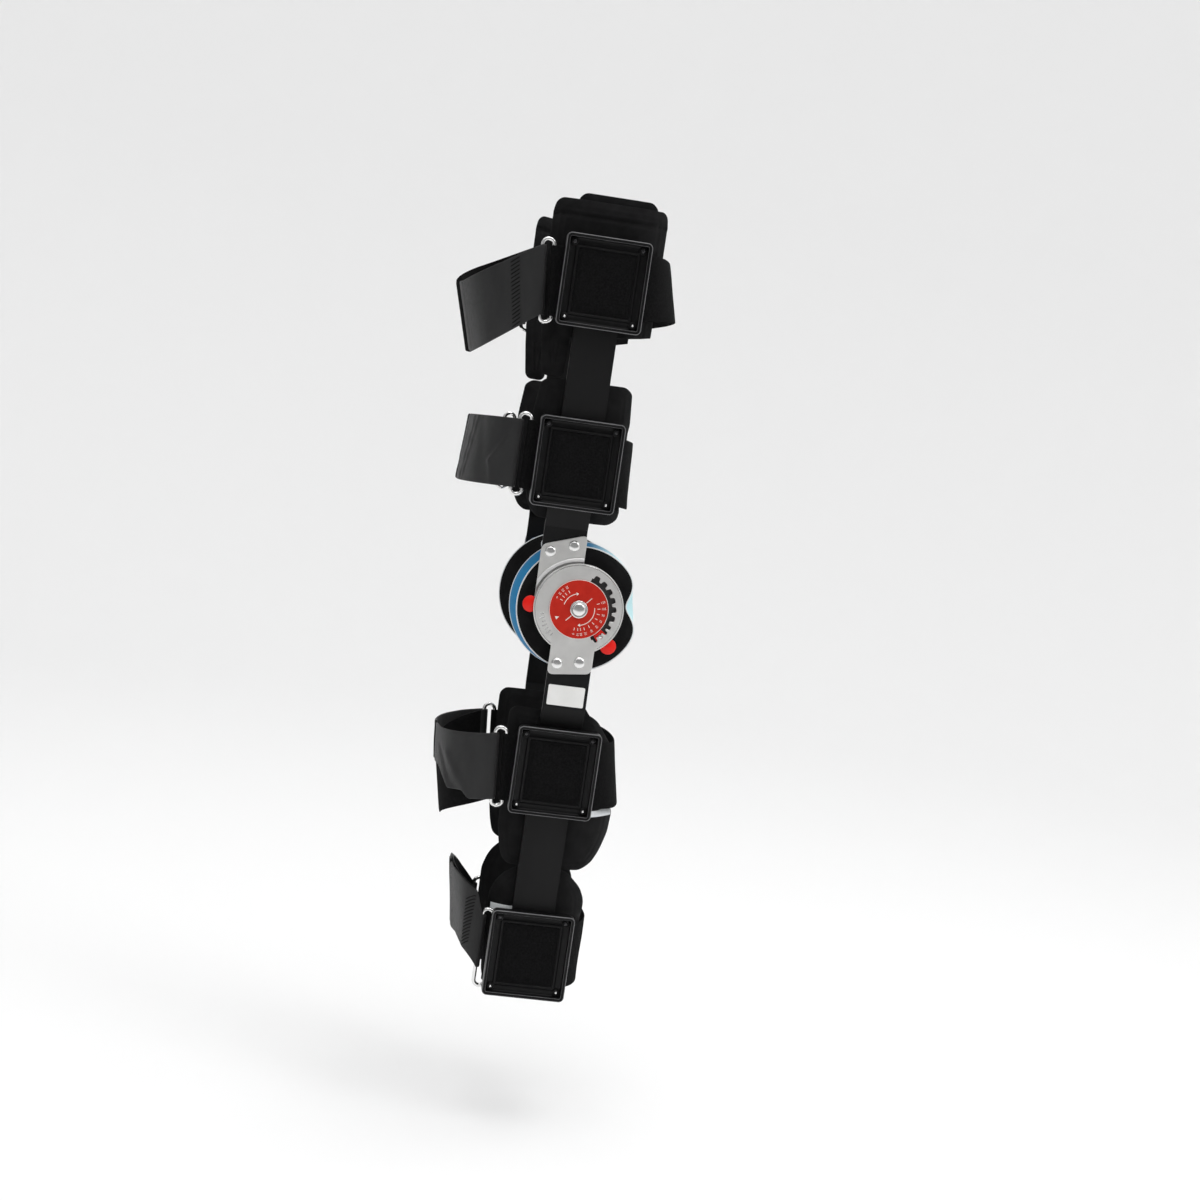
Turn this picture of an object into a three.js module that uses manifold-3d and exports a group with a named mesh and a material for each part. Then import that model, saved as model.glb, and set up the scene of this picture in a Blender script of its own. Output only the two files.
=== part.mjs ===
// A hinged knee brace for a right leg, with a range-of-motion dial on each side of the knee.
// Two uprights, each an upper and a lower bar on a dial hinge, carry four cuffs: square strap plates,
// padded panels, a front strap and a rear strap that meet in wire rings.
// Millimetres. +X is the outer (lateral) side, +Y is forwards, +Z runs up the leg.
// The origin is on the knee axis, midway between the two hinges.
import * as THREE from "three";
import { mergeVertices } from "three/addons/utils/BufferGeometryUtils.js";
import Module from "manifold-3d";

const wasm = await Module();
wasm.setup();

// Clearances
const GAP = 0.3;
const PAD_GAP = 0.8;
const HOLE_PLAY = 0.4;

// Facets of round outlines
const FACETS = { dial: 34, disc: 20, pivot: 16, window: 12, rivet: 12, hole: 10, plain: 8, screw: 6, tab: 6 };
const CORNER_FACETS = 2;

// Bars, as offsets along X at the knee axis.
// Each is bent sideways once clear of the hinge and then flares with the leg.
const BAR_WIDTH = 34;
const BAR_THICK = 3;
const UPPER_BAR = { inX: 68, startZ: 28, bendZ: 61, endZ: 274, shift: 6, flareDeg: 4 };
const LOWER_BAR = { inX: 73.1, startZ: -36.5, bendZ: -79, endZ: -300, shift: -7, flareDeg: 3.5 };
const BEND_LENGTH = 16;
const LOWER_BAR_Y = -0.5;

// Hinge, stacked outwards from the upper bar: rear plate, friction disc, stops, front plate, dial, pivot head
const PLATE_THICK = 1.5;
const REAR_IN = UPPER_BAR.inX + BAR_THICK + GAP;
const REAR_OUT = REAR_IN + PLATE_THICK;
const FRONT_IN = LOWER_BAR.inX + BAR_THICK + GAP;
const FRONT_OUT = FRONT_IN + PLATE_THICK;
const FRICTION_R = 33;
const FRICTION_THICK = 1.2;
const STOP_IN = REAR_OUT + FRICTION_THICK + 2 * GAP;
const STOP_OUT = FRONT_IN - GAP;
const FRONT_R = 35.5;
const REAR_R = 35;
const UPPER_BAR_Y = -REAR_R / 2;
const TAB_CORNER = 3;
const UPPER_TAB = { topBack: 46.5, topFront: 58 };
const LOWER_TAB = { half: 17.2, bottomBack: -53.5, bottomFront: -49.5 };
const PIVOT = { shaftR: 4, headR: 7, rise: 2.4 };
const PIVOT_HOLE_R = PIVOT.shaftR + HOLE_PLAY;
const DIAL = { r: 23.3, thick: 1 };
const RIVET = { headR: 4.5, shaftR: 2.4, rise: 2.4 };
const RIVET_HOLE_R = RIVET.shaftR + HOLE_PLAY;
// Shares of a rivet head's radius and rise
const DOME = [
  { r: 1, rise: 0 },
  { r: 0.94, rise: 0.4 },
  { r: 0.68, rise: 0.78 },
];
const UPPER_RIVETS = [
  { name: "back", y: -27.5, z: 41.8 },
  { name: "front", y: -9.6, z: 48.1 },
];
const LOWER_RIVETS = [
  { name: "back", y: -11.1, z: -44.1 },
  { name: "front", y: 6.2, z: -41.5 },
];
// Toothed window: a notch for each flexion setting, 15 degrees apart and then 10
const WINDOW = { inner: 22, tooth: 26, notch: 29.5, fromDeg: -60, toDeg: 73, halfDeg: 3.6, flankDeg: 1.6 };
const NOTCH_DEGREES = [-54, -44, -34, -24, -9, 6, 21, 36, 51, 66];
const STOP = { inner: 19, outer: 34.5, halfDeg: 9 };
const STOP_THUMB = { root: 32.5, rootHalf: 5, tip: 44, tipHalf: 6.5 };
const STOP_TOOTH = { inner: 23.7, outer: 25.6, halfDeg: 6 };
const FLEXION_STOP_DEG = -44;
const EXTENSION_STOP_DEG = 181;
const LABEL = { width: 29, height: 16, corner: 1, thick: 0.4, z: -69 };

// Padding behind the hinge, a little above its middle, with a dent in its front edge that deepens towards the hinge
const CONDYLE = { y: -0.5, z: 2.5, dent: 11, dentDeg: -4, dentHalfDeg: 20 };
const CONDYLE_LEVELS = [
  { x: 51, r: 47 },
  { x: 54, r: 50.8 },
  { x: 63.5, r: 49 },
  { x: 66.5, r: 47.8 },
  { x: 67.5, r: 43.5 },
];
const CONDYLE_SIDES = 28;

// Strap plates, straps and wire rings
const STRAP_PLATE = { width: 66, height: 70, corner: 4, depth: 8, floor: 3, rim: 1.7 };
const STRAP_LIP = { inset: 8.5, wide: 2, rise: 2.4, corner: 3 };
const SCREW = { inset: 5.4, r: 3, rise: 1.6 };
const PATCH_THICK = 1.2;
const STRAP_THICK = 2;
const STRAP_WIDTH = 53;
const STRAP_U = BAR_THICK + GAP + STRAP_THICK / 2;
const PLATE_U = BAR_THICK + STRAP_THICK + 2 * GAP;
const RING = { wire: 1.6, width: 12, height: 66 };
const RING_SIDES = 5;
const RING_ARC_STEPS = 5;
const WRAP_R = RING.wire + GAP + STRAP_THICK / 2;
const RING_U = STRAP_U - WRAP_R;
const WRAP_STEPS = 4;
const LAYER_GAP = 0.5;
const LAYER_STEP = STRAP_THICK + LAYER_GAP;
const LAYER_MERGE = 28;
const TAIL_LENGTH = 84;
const LOOP_STEPS = 18;
const LOOP_POWER = 2.4;

// Each cuff's plate is centred at z. Its ring lies v behind the bar's middle, lift above the plate's centre.
// A lean is how far forwards a ring or a strap goes for each millimetre up its width.
// The front strap has a tail past the ring, leaves the plate at loopV and comes round the leg at y.
// The rear strap comes round the leg at y, climbs by lift, and is gathered at the ring.
const CUFFS = [
  {
    name: "upper_thigh",
    z: 251,
    ring: { v: -42.5, lift: -3.7, lean: -0.093 },
    front: { tail: 6, loopV: 24, y: 50, lift: 0, lean: -0.32 },
    rear: { y: -113, lift: -32.3, lean: -0.28, gather: 0 },
  },
  {
    name: "lower_thigh",
    z: 112,
    ring: { v: -43.5, lift: 1.9, lean: 0 },
    front: { tail: 6, loopV: 18, y: 32.6, lift: -5, lean: -0.06 },
    rear: { y: -99, lift: -0.9, lean: 0.075, gather: 0 },
  },
  {
    name: "upper_calf",
    z: -130,
    ring: { v: -43.5, lift: -1.8, lean: -0.072 },
    front: { tail: 6, loopV: 18, y: 55.4, lift: -1.5, lean: -0.19 },
    rear: { y: -88.5, lift: -6.2, lean: -0.1, gather: 0 },
  },
  {
    name: "lower_calf",
    z: -279,
    ring: { v: -35, lift: 0, lean: 0 },
    front: { tail: 3, loopV: 18, y: 46.5, lift: 0, lean: 0 },
    rear: { y: -60.5, lift: 26, lean: -0.13, gather: 10 },
  },
].map((cuff) => ({ ...cuff, upper: cuff.z > 0 }));
const GATHER_LENGTH = 25;

// Padded panels: a row for each level, with the panel's back and front edges measured from the bar's middle
const PAD = { thick: 8, end: 4, edge: 3, edgePower: 6, bow: 0.018 };
const PAD_COLUMNS = 6;
const PAD_STRAP_GAP = 1.2;
const PAD_STRAP_LEAN = 1.1;
const PADS = {
  upper_thigh: [
    { z: 317, back: -23, front: 34 },
    { z: 312, back: -26, front: 37 },
    { z: 310, back: -39, front: 42 },
    { z: 304, back: -43, front: 46 },
    { z: 262, back: -44, front: 46 },
    { z: 217, back: -41, front: 45 },
    { z: 213, back: -40.5, front: 38 },
    { z: 209, back: -40, front: -12 },
    { z: 202, back: -39, front: -19 },
    { z: 177, back: -36, front: -19.5 },
  ],
  lower_thigh: [
    { z: 175, back: -26, front: 32 },
    { z: 171, back: -34, front: 37 },
    { z: 146, back: -38, front: 39 },
    { z: 112, back: -39, front: 39 },
    { z: 80, back: -34, front: 41 },
    { z: 70, back: -29, front: 40 },
    { z: 66, back: -25, front: 34 },
  ],
  upper_calf: [
    { z: -84, back: -37, front: 24 },
    { z: -88, back: -40, front: 30 },
    { z: -110, back: -40, front: 45 },
    { z: -155, back: -38, front: 47 },
    { z: -182, back: -36, front: 45 },
    { z: -198, back: -32, front: 41 },
    { z: -204, back: -27, front: 34 },
  ],
  lower_calf: [
    { z: -208, back: -18, front: 26 },
    { z: -213, back: -30, front: 33 },
    { z: -232, back: -36, front: 38 },
    { z: -265, back: -36, front: 39 },
    { z: -300, back: -34, front: 38 },
    { z: -313, back: -30, front: 35 },
    { z: -317, back: -25, front: 30 },
  ],
};

const MATERIALS = {
  blackPlastic: new THREE.MeshStandardMaterial({ color: 0x17181a, roughness: 0.42 }),
  blackCloth: new THREE.MeshStandardMaterial({ color: 0x131314, roughness: 0.95 }),
  webbing: new THREE.MeshStandardMaterial({ color: 0x232325, roughness: 0.75 }),
  steel: new THREE.MeshStandardMaterial({ color: 0xb9b9b6, roughness: 0.34, metalness: 1 }),
  chrome: new THREE.MeshStandardMaterial({ color: 0xd8d8d8, roughness: 0.14, metalness: 1 }),
  redPlastic: new THREE.MeshStandardMaterial({ color: 0xd6281f, roughness: 0.4 }),
  blueCloth: new THREE.MeshStandardMaterial({ color: 0x1b86bb, roughness: 0.9 }),
  paper: new THREE.MeshStandardMaterial({ color: 0xf2f2ef, roughness: 0.7 }),
};

const rad = THREE.MathUtils.degToRad;
const polar = (r, deg) => new THREE.Vector2(r * Math.cos(rad(deg)), r * Math.sin(rad(deg)));

// Solids and meshes

// A closed geometry as a solid that can be joined and cut.
function solid(geometry) {
  const bare = new THREE.BufferGeometry().setAttribute("position", geometry.getAttribute("position"));
  bare.setIndex(geometry.index);
  const merged = mergeVertices(bare, 1e-4);
  return new wasm.Manifold(
    new wasm.Mesh({
      numProp: 3,
      vertProperties: merged.getAttribute("position").array,
      triVerts: new Uint32Array(merged.index.array),
    }),
  );
}

// A solid back as a geometry.
function geometryOf(made) {
  const mesh = made.getMesh();
  const geometry = new THREE.BufferGeometry();
  geometry.setAttribute("position", new THREE.BufferAttribute(new Float32Array(mesh.vertProperties), 3));
  geometry.setIndex(new THREE.BufferAttribute(new Uint32Array(mesh.triVerts), 1));
  return geometry;
}

const unite = (first, ...others) => others.reduce((sum, other) => sum.add(other), first);
const cut = (first, ...others) => others.reduce((left, other) => left.subtract(other), first);

function addPiece(group, name, geometry, material) {
  const mesh = new THREE.Mesh(geometry, material);
  mesh.name = name;
  group.add(mesh);
}

// A shape drawn in Y and Z, extruded along X from x0 to x1.
function sideways(shape, x0, x1, curveSegments = 8) {
  const geometry = new THREE.ExtrudeGeometry(shape, { depth: x1 - x0, bevelEnabled: false, curveSegments });
  const turn = new THREE.Matrix4().makeBasis(
    new THREE.Vector3(0, 1, 0),
    new THREE.Vector3(0, 0, 1),
    new THREE.Vector3(1, 0, 0),
  );
  return geometry.applyMatrix4(turn).translate(x0, 0, 0);
}

// A shape drawn in X and Z, extruded along Y from y0 to y1.
function lengthways(shape, y0, y1) {
  const geometry = new THREE.ExtrudeGeometry(shape, { depth: y1 - y0, bevelEnabled: false });
  const turn = new THREE.Matrix4().makeBasis(
    new THREE.Vector3(1, 0, 0),
    new THREE.Vector3(0, 0, 1),
    new THREE.Vector3(0, -1, 0),
  );
  return geometry.applyMatrix4(turn).translate(0, y1, 0);
}

// A cylinder along X.
function pin(r, x0, x1, y, z, sides = FACETS.pivot) {
  const geometry = new THREE.CylinderGeometry(r, r, x1 - x0, sides);
  return geometry.rotateZ(-Math.PI / 2).translate((x0 + x1) / 2, y, z);
}

// A domed rivet along X: a head on a shaft.
function rivet(x0, seatX, { headR, shaftR, rise }, y, z, sides = FACETS.rivet) {
  const profile = [
    new THREE.Vector2(0, x0),
    new THREE.Vector2(shaftR, x0),
    new THREE.Vector2(shaftR, seatX),
    ...DOME.map((share) => new THREE.Vector2(headR * share.r, seatX + rise * share.rise)),
    new THREE.Vector2(0, seatX + rise),
  ];
  const geometry = new THREE.LatheGeometry(profile, sides);
  return geometry.rotateZ(-Math.PI / 2).translate(0, y, z);
}

// A rectangle with round corners, centred in Y and Z.
function roundRect(width, height, corner) {
  const [right, top] = [width / 2, height / 2];
  const shape = new THREE.Shape();
  shape.moveTo(right, -top + corner);
  shape.absarc(right - corner, top - corner, corner, 0, Math.PI / 2, false);
  shape.absarc(-right + corner, top - corner, corner, Math.PI / 2, Math.PI, false);
  shape.absarc(-right + corner, -top + corner, corner, Math.PI, 1.5 * Math.PI, false);
  shape.absarc(right - corner, -top + corner, corner, 1.5 * Math.PI, 2 * Math.PI, false);
  return shape;
}

// Part of a flat ring between two radii and two angles.
function ringSector(inner, outer, fromDeg, toDeg) {
  const shape = new THREE.Shape();
  shape.absarc(0, 0, outer, rad(fromDeg), rad(toDeg), false);
  shape.absarc(0, 0, inner, rad(toDeg), rad(fromDeg), true);
  return shape;
}

// Triangles with their winding turned so that the solid's faces point out.
function facingOut(points, triangles) {
  let volume = 0;
  for (const [a, b, c] of triangles) {
    volume += points[a].dot(new THREE.Vector3().crossVectors(points[b], points[c]));
  }
  const index = volume < 0 ? triangles.map(([a, b, c]) => [a, c, b]) : triangles;
  const geometry = new THREE.BufferGeometry().setFromPoints(points);
  geometry.setIndex(index.flat());
  return geometry;
}

// A wall between an outer and an inner grid of points, closed round its edge.
function wall(outer, inner) {
  const rows = outer.length;
  const columns = outer[0].length;
  const points = [...outer.flat(), ...inner.flat()];
  const at = (i, j) => i * columns + j;
  const under = (i, j) => rows * columns + at(i, j);
  const triangles = [];
  const quad = (a, b, c, d) => triangles.push([a, b, c], [a, c, d]);
  for (let i = 0; i < rows - 1; i++) {
    for (let j = 0; j < columns - 1; j++) {
      quad(at(i, j), at(i + 1, j), at(i + 1, j + 1), at(i, j + 1));
      quad(under(i, j), under(i, j + 1), under(i + 1, j + 1), under(i + 1, j));
    }
  }
  for (let i = 0; i < rows - 1; i++) {
    quad(at(i, 0), under(i, 0), under(i + 1, 0), at(i + 1, 0));
    quad(at(i, columns - 1), at(i + 1, columns - 1), under(i + 1, columns - 1), under(i, columns - 1));
  }
  for (let j = 0; j < columns - 1; j++) {
    quad(at(0, j), at(0, j + 1), under(0, j + 1), under(0, j));
    quad(at(rows - 1, j), under(rows - 1, j), under(rows - 1, j + 1), at(rows - 1, j + 1));
  }
  return facingOut(points, triangles);
}

// A solid through a stack of rings with the same number of points, closed by a fan at each end.
function stack(rings) {
  const sides = rings[0].length;
  const points = rings.flat();
  const triangles = [];
  for (let i = 0; i < rings.length - 1; i++) {
    for (let j = 0; j < sides; j++) {
      const next = (j + 1) % sides;
      const [a, b] = [i * sides + j, i * sides + next];
      triangles.push([a, b, b + sides], [a, b + sides, a + sides]);
    }
  }
  for (const [first, flip] of [[0, true], [(rings.length - 1) * sides, false]]) {
    const middle = points.length;
    const sum = new THREE.Vector3();
    points.slice(first, first + sides).forEach((p) => sum.add(p));
    points.push(sum.divideScalar(sides));
    for (let j = 0; j < sides; j++) {
      const [a, b] = [first + j, first + ((j + 1) % sides)];
      triangles.push(flip ? [middle, b, a] : [middle, a, b]);
    }
  }
  return facingOut(points, triangles);
}

// Frames of the two bars: u out from the bar's inner face, v forwards from its middle,
// w along it from the end of its bend

function barFrame(upper) {
  const { inX, bendZ, shift, flareDeg } = upper ? UPPER_BAR : LOWER_BAR;
  const z = upper ? bendZ + BEND_LENGTH : bendZ - BEND_LENGTH;
  return { x: inX + shift, y: upper ? UPPER_BAR_Y : LOWER_BAR_Y, z, flare: rad(flareDeg) };
}

// The distance along the bar from the end of its bend to a height.
const alongBar = (frame, z) => (z - frame.z) / Math.cos(frame.flare);

function onBar(frame, u, v, w) {
  const [cos, sin] = [Math.cos(frame.flare), Math.sin(frame.flare)];
  return new THREE.Vector3(frame.x + u * cos + w * sin, frame.y + v, frame.z - u * sin + w * cos);
}

function barGroup(side, upper) {
  const frame = barFrame(upper);
  const group = new THREE.Group();
  group.position.set(frame.x, frame.y, frame.z);
  group.rotation.y = frame.flare;
  side.add(group);
  return group;
}

// Hinge

function tabCorner(shape, corner, before, after) {
  const towards = (p) => p.clone().sub(corner).setLength(TAB_CORNER).add(corner);
  const [start, end] = [towards(before), towards(after)];
  shape.lineTo(start.x, start.y);
  shape.quadraticCurveTo(corner.x, corner.y, end.x, end.y);
}

// The rear plate's outline: a disc whose tab runs up from its top and its back edge, with a slanted end.
function rearShape() {
  const foot = new THREE.Vector2(0, REAR_R);
  const topFront = new THREE.Vector2(0, UPPER_TAB.topFront);
  const topBack = new THREE.Vector2(-REAR_R, UPPER_TAB.topBack);
  const heel = new THREE.Vector2(-REAR_R, 0);
  const shape = new THREE.Shape();
  shape.moveTo(foot.x, foot.y);
  tabCorner(shape, topFront, foot, topBack);
  tabCorner(shape, topBack, topFront, heel);
  shape.lineTo(heel.x, heel.y);
  shape.absarc(0, 0, REAR_R, Math.PI, 2.5 * Math.PI, false);
  return shape;
}

// The front plate's outline: a disc with a tab below it.
function frontShape() {
  const [back, front] = [LOWER_BAR_Y - LOWER_TAB.half, LOWER_BAR_Y + LOWER_TAB.half];
  const frontAngle = -Math.acos(front / FRONT_R);
  const backAngle = 2 * Math.PI - Math.acos(back / FRONT_R);
  const neckFront = new THREE.Vector2(front, FRONT_R * Math.sin(frontAngle));
  const neckBack = new THREE.Vector2(back, FRONT_R * Math.sin(backAngle));
  const bottomBack = new THREE.Vector2(back, LOWER_TAB.bottomBack);
  const bottomFront = new THREE.Vector2(front, LOWER_TAB.bottomFront);
  const shape = new THREE.Shape();
  shape.absarc(0, 0, FRONT_R, frontAngle, backAngle, false);
  tabCorner(shape, bottomBack, neckBack, bottomFront);
  tabCorner(shape, bottomFront, bottomBack, neckFront);
  shape.closePath();
  return shape;
}

// The arc window, with notches in its outer edge.
function windowShape() {
  const shape = new THREE.Shape();
  shape.absarc(0, 0, WINDOW.inner, rad(WINDOW.toDeg), rad(WINDOW.fromDeg), true);
  const outline = [polar(WINDOW.tooth, WINDOW.fromDeg)];
  for (const middle of NOTCH_DEGREES) {
    const half = WINDOW.halfDeg;
    outline.push(polar(WINDOW.tooth, middle - half - WINDOW.flankDeg / 2));
    outline.push(polar(WINDOW.notch, middle - half + WINDOW.flankDeg));
    outline.push(polar(WINDOW.notch, middle + half - WINDOW.flankDeg));
    outline.push(polar(WINDOW.tooth, middle + half + WINDOW.flankDeg / 2));
  }
  outline.push(polar(WINDOW.tooth, WINDOW.toDeg));
  outline.forEach((p) => shape.lineTo(p.x, p.y));
  return shape;
}

const rivetHoles = (rivets, x0, x1) =>
  rivets.map((r) => solid(pin(RIVET_HOLE_R, x0, x1, r.y, r.z, FACETS.hole)));

function lateralFront() {
  const [x0, x1] = [FRONT_IN - 1, FRONT_OUT + 1];
  const blank = solid(sideways(frontShape(), FRONT_IN, FRONT_OUT, FACETS.disc));
  const window = solid(sideways(windowShape(), x0, x1, FACETS.window));
  const pivotHole = solid(pin(PIVOT_HOLE_R, x0, x1, 0, 0));
  return geometryOf(cut(blank, window, pivotHole, ...rivetHoles(LOWER_RIVETS, x0, x1)));
}

function lateralRear() {
  const [x0, x1] = [REAR_IN - 1, REAR_OUT + 1];
  const blank = solid(sideways(rearShape(), REAR_IN, REAR_OUT, FACETS.window));
  const pivotHole = solid(pin(PIVOT_HOLE_R, x0, x1, 0, 0));
  return geometryOf(cut(blank, pivotHole, ...rivetHoles(UPPER_RIVETS, x0, x1)));
}

function disc(outerR, x0, x1, sides) {
  const pivotHole = solid(pin(PIVOT_HOLE_R, x0 - 1, x1 + 1, 0, 0));
  return geometryOf(cut(solid(pin(outerR, x0, x1, 0, 0, sides)), pivotHole));
}

// A stop: a lever behind the front plate with a round thumb tab outside its rim, and a tooth in the window.
function stopLever(atDeg, withTooth) {
  const { root, rootHalf, tip, tipHalf } = STOP_THUMB;
  const sector = ({ inner, outer, halfDeg }) => ringSector(inner, outer, -halfDeg, halfDeg);
  const thumb = new THREE.Shape();
  thumb.moveTo(root, -rootHalf);
  thumb.lineTo(tip - tipHalf, -tipHalf);
  thumb.absarc(tip - tipHalf, 0, tipHalf, -Math.PI / 2, Math.PI / 2, false);
  thumb.lineTo(root, rootHalf);
  const arm = solid(sideways(sector(STOP), STOP_IN, STOP_OUT, CORNER_FACETS));
  let lever = unite(arm, solid(sideways(thumb, STOP_IN, STOP_OUT, FACETS.tab)));
  if (withTooth) {
    const tooth = solid(sideways(sector(STOP_TOOTH), STOP_OUT - GAP, FRONT_OUT, CORNER_FACETS));
    lever = unite(lever, tooth);
  }
  return geometryOf(lever).rotateX(rad(atDeg));
}

function lateralHinge(side) {
  const frictionIn = REAR_OUT + GAP;
  const dialIn = FRONT_OUT + GAP;
  const headX = dialIn + DIAL.thick + GAP;
  addPiece(side, "hinge_rear_lateral", lateralRear(), MATERIALS.steel);
  addPiece(side, "hinge_front_lateral", lateralFront(), MATERIALS.steel);
  const friction = disc(FRICTION_R, frictionIn, frictionIn + FRICTION_THICK, FACETS.disc);
  addPiece(side, "friction_disc", friction, MATERIALS.blackPlastic);
  const dial = disc(DIAL.r, dialIn, dialIn + DIAL.thick, FACETS.dial);
  addPiece(side, "dial_lateral", dial, MATERIALS.redPlastic);
  const pivot = rivet(REAR_IN, headX, PIVOT, 0, 0, FACETS.pivot);
  addPiece(side, "pivot_rivet", pivot, MATERIALS.chrome);
  for (const r of UPPER_RIVETS) {
    const made = rivet(UPPER_BAR.inX, REAR_OUT + GAP, RIVET, r.y, r.z);
    addPiece(side, `upper_rivet_${r.name}`, made, MATERIALS.chrome);
  }
  for (const r of LOWER_RIVETS) {
    const made = rivet(LOWER_BAR.inX, FRONT_OUT + GAP, RIVET, r.y, r.z);
    addPiece(side, `lower_rivet_${r.name}`, made, MATERIALS.chrome);
  }
  addPiece(side, "flexion_stop", stopLever(FLEXION_STOP_DEG, true), MATERIALS.redPlastic);
  addPiece(side, "extension_stop", stopLever(EXTENSION_STOP_DEG, false), MATERIALS.redPlastic);
}

// The inner side's hinge is plain: no window or stops, and its rivets are part of its two plates.
function medialHinge(side) {
  const dialIn = FRONT_OUT + GAP;
  const headX = dialIn + DIAL.thick + GAP;
  const heads = (rivets, barIn, seatX) =>
    rivets.map((r) => solid(rivet(barIn, seatX, RIVET, r.y, r.z, FACETS.plain)));
  const rearSheet = solid(sideways(rearShape(), REAR_IN, REAR_OUT, FACETS.plain));
  const hole = solid(pin(PIVOT_HOLE_R, REAR_IN - 1, REAR_OUT + 1, 0, 0));
  const rear = unite(cut(rearSheet, hole), ...heads(UPPER_RIVETS, UPPER_BAR.inX, REAR_OUT));
  addPiece(side, "hinge_rear_medial", geometryOf(rear), MATERIALS.steel);
  const frontSheet = solid(sideways(frontShape(), FRONT_IN, FRONT_OUT, FACETS.plain));
  const boss = solid(pin(FRICTION_R, REAR_OUT + GAP, FRONT_IN + GAP, 0, 0, FACETS.rivet));
  const pivot = solid(rivet(REAR_IN, headX, PIVOT, 0, 0));
  const front = unite(frontSheet, boss, pivot, ...heads(LOWER_RIVETS, LOWER_BAR.inX, FRONT_OUT));
  addPiece(side, "hinge_front_medial", geometryOf(front), MATERIALS.steel);
  const dial = disc(DIAL.r, dialIn, dialIn + DIAL.thick, FACETS.pivot);
  addPiece(side, "dial_medial", dial, MATERIALS.redPlastic);
}

// Bars: a strip bent sideways clear of the hinge and drilled for the rivets

function bar(upper) {
  const { inX, startZ, bendZ, endZ } = upper ? UPPER_BAR : LOWER_BAR;
  const frame = barFrame(upper);
  const reach = alongBar(frame, endZ);
  const line = (u) => {
    const [bend, end] = [onBar(frame, u, 0, 0), onBar(frame, u, 0, reach)];
    return [
      new THREE.Vector2(inX + u, startZ),
      new THREE.Vector2(inX + u, bendZ),
      new THREE.Vector2(bend.x, bend.z),
      new THREE.Vector2(end.x, end.z),
    ];
  };
  const strip = new THREE.Shape([...line(0), ...line(BAR_THICK).reverse()]);
  const bent = solid(lengthways(strip, frame.y - BAR_WIDTH / 2, frame.y + BAR_WIDTH / 2));
  const rivets = upper ? UPPER_RIVETS : LOWER_RIVETS;
  return geometryOf(cut(bent, ...rivetHoles(rivets, inX - 1, inX + BAR_THICK + 1)));
}

// Padding behind the hinge: a bevelled disc, wider at the leg than at the hinge

function condylePad() {
  const [inX, outX] = [CONDYLE_LEVELS[0].x, CONDYLE_LEVELS[CONDYLE_LEVELS.length - 1].x];
  const rings = CONDYLE_LEVELS.map(({ x, r }) => {
    const depth = (x - inX) / (outX - inX);
    return Array.from({ length: CONDYLE_SIDES }, (_, k) => {
      const deg = (360 * k) / CONDYLE_SIDES;
      const away = ((deg - CONDYLE.dentDeg + 540) % 360) - 180;
      const dent = CONDYLE.dent * depth * Math.exp(-((away / CONDYLE.dentHalfDeg) ** 2));
      const p = polar(r - dent, deg);
      return new THREE.Vector3(x, CONDYLE.y + p.x, CONDYLE.z + p.y);
    });
  });
  return stack(rings);
}

// Strap plates: a square tray with a thin rim and an inner lip that frames the fabric patch

const plateInset = (inset, corner) =>
  roundRect(STRAP_PLATE.width - 2 * inset, STRAP_PLATE.height - 2 * inset, corner);

function strapPlate(plain) {
  const { width, height, corner, depth, floor, rim } = STRAP_PLATE;
  const floorU = PLATE_U + floor;
  const rimU = PLATE_U + depth;
  const box = solid(sideways(roundRect(width, height, corner), PLATE_U, rimU, CORNER_FACETS));
  const hollow = solid(sideways(plateInset(rim, corner - rim), floorU, rimU + 1, CORNER_FACETS));
  const lipShape = plateInset(STRAP_LIP.inset, corner);
  if (!plain) lipShape.holes.push(plateInset(STRAP_LIP.inset + STRAP_LIP.wide, STRAP_LIP.corner));
  const tray = unite(cut(box, hollow), solid(sideways(lipShape, floorU - 1, floorU + STRAP_LIP.rise, 1)));
  if (plain) return geometryOf(tray);
  const screws = [];
  for (const sy of [-1, 1]) {
    for (const sz of [-1, 1]) {
      const [y, z] = [sy * (width / 2 - SCREW.inset), sz * (height / 2 - SCREW.inset)];
      screws.push(solid(pin(SCREW.r, floorU - 1, floorU + SCREW.rise, y, z, FACETS.screw)));
    }
  }
  return geometryOf(unite(tray, ...screws));
}

function fabricPatch() {
  const start = PLATE_U + STRAP_PLATE.floor + GAP;
  const outline = plateInset(STRAP_LIP.inset + STRAP_LIP.wide + GAP, STRAP_LIP.corner);
  return sideways(outline, start, start + PATCH_THICK, 1);
}

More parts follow.
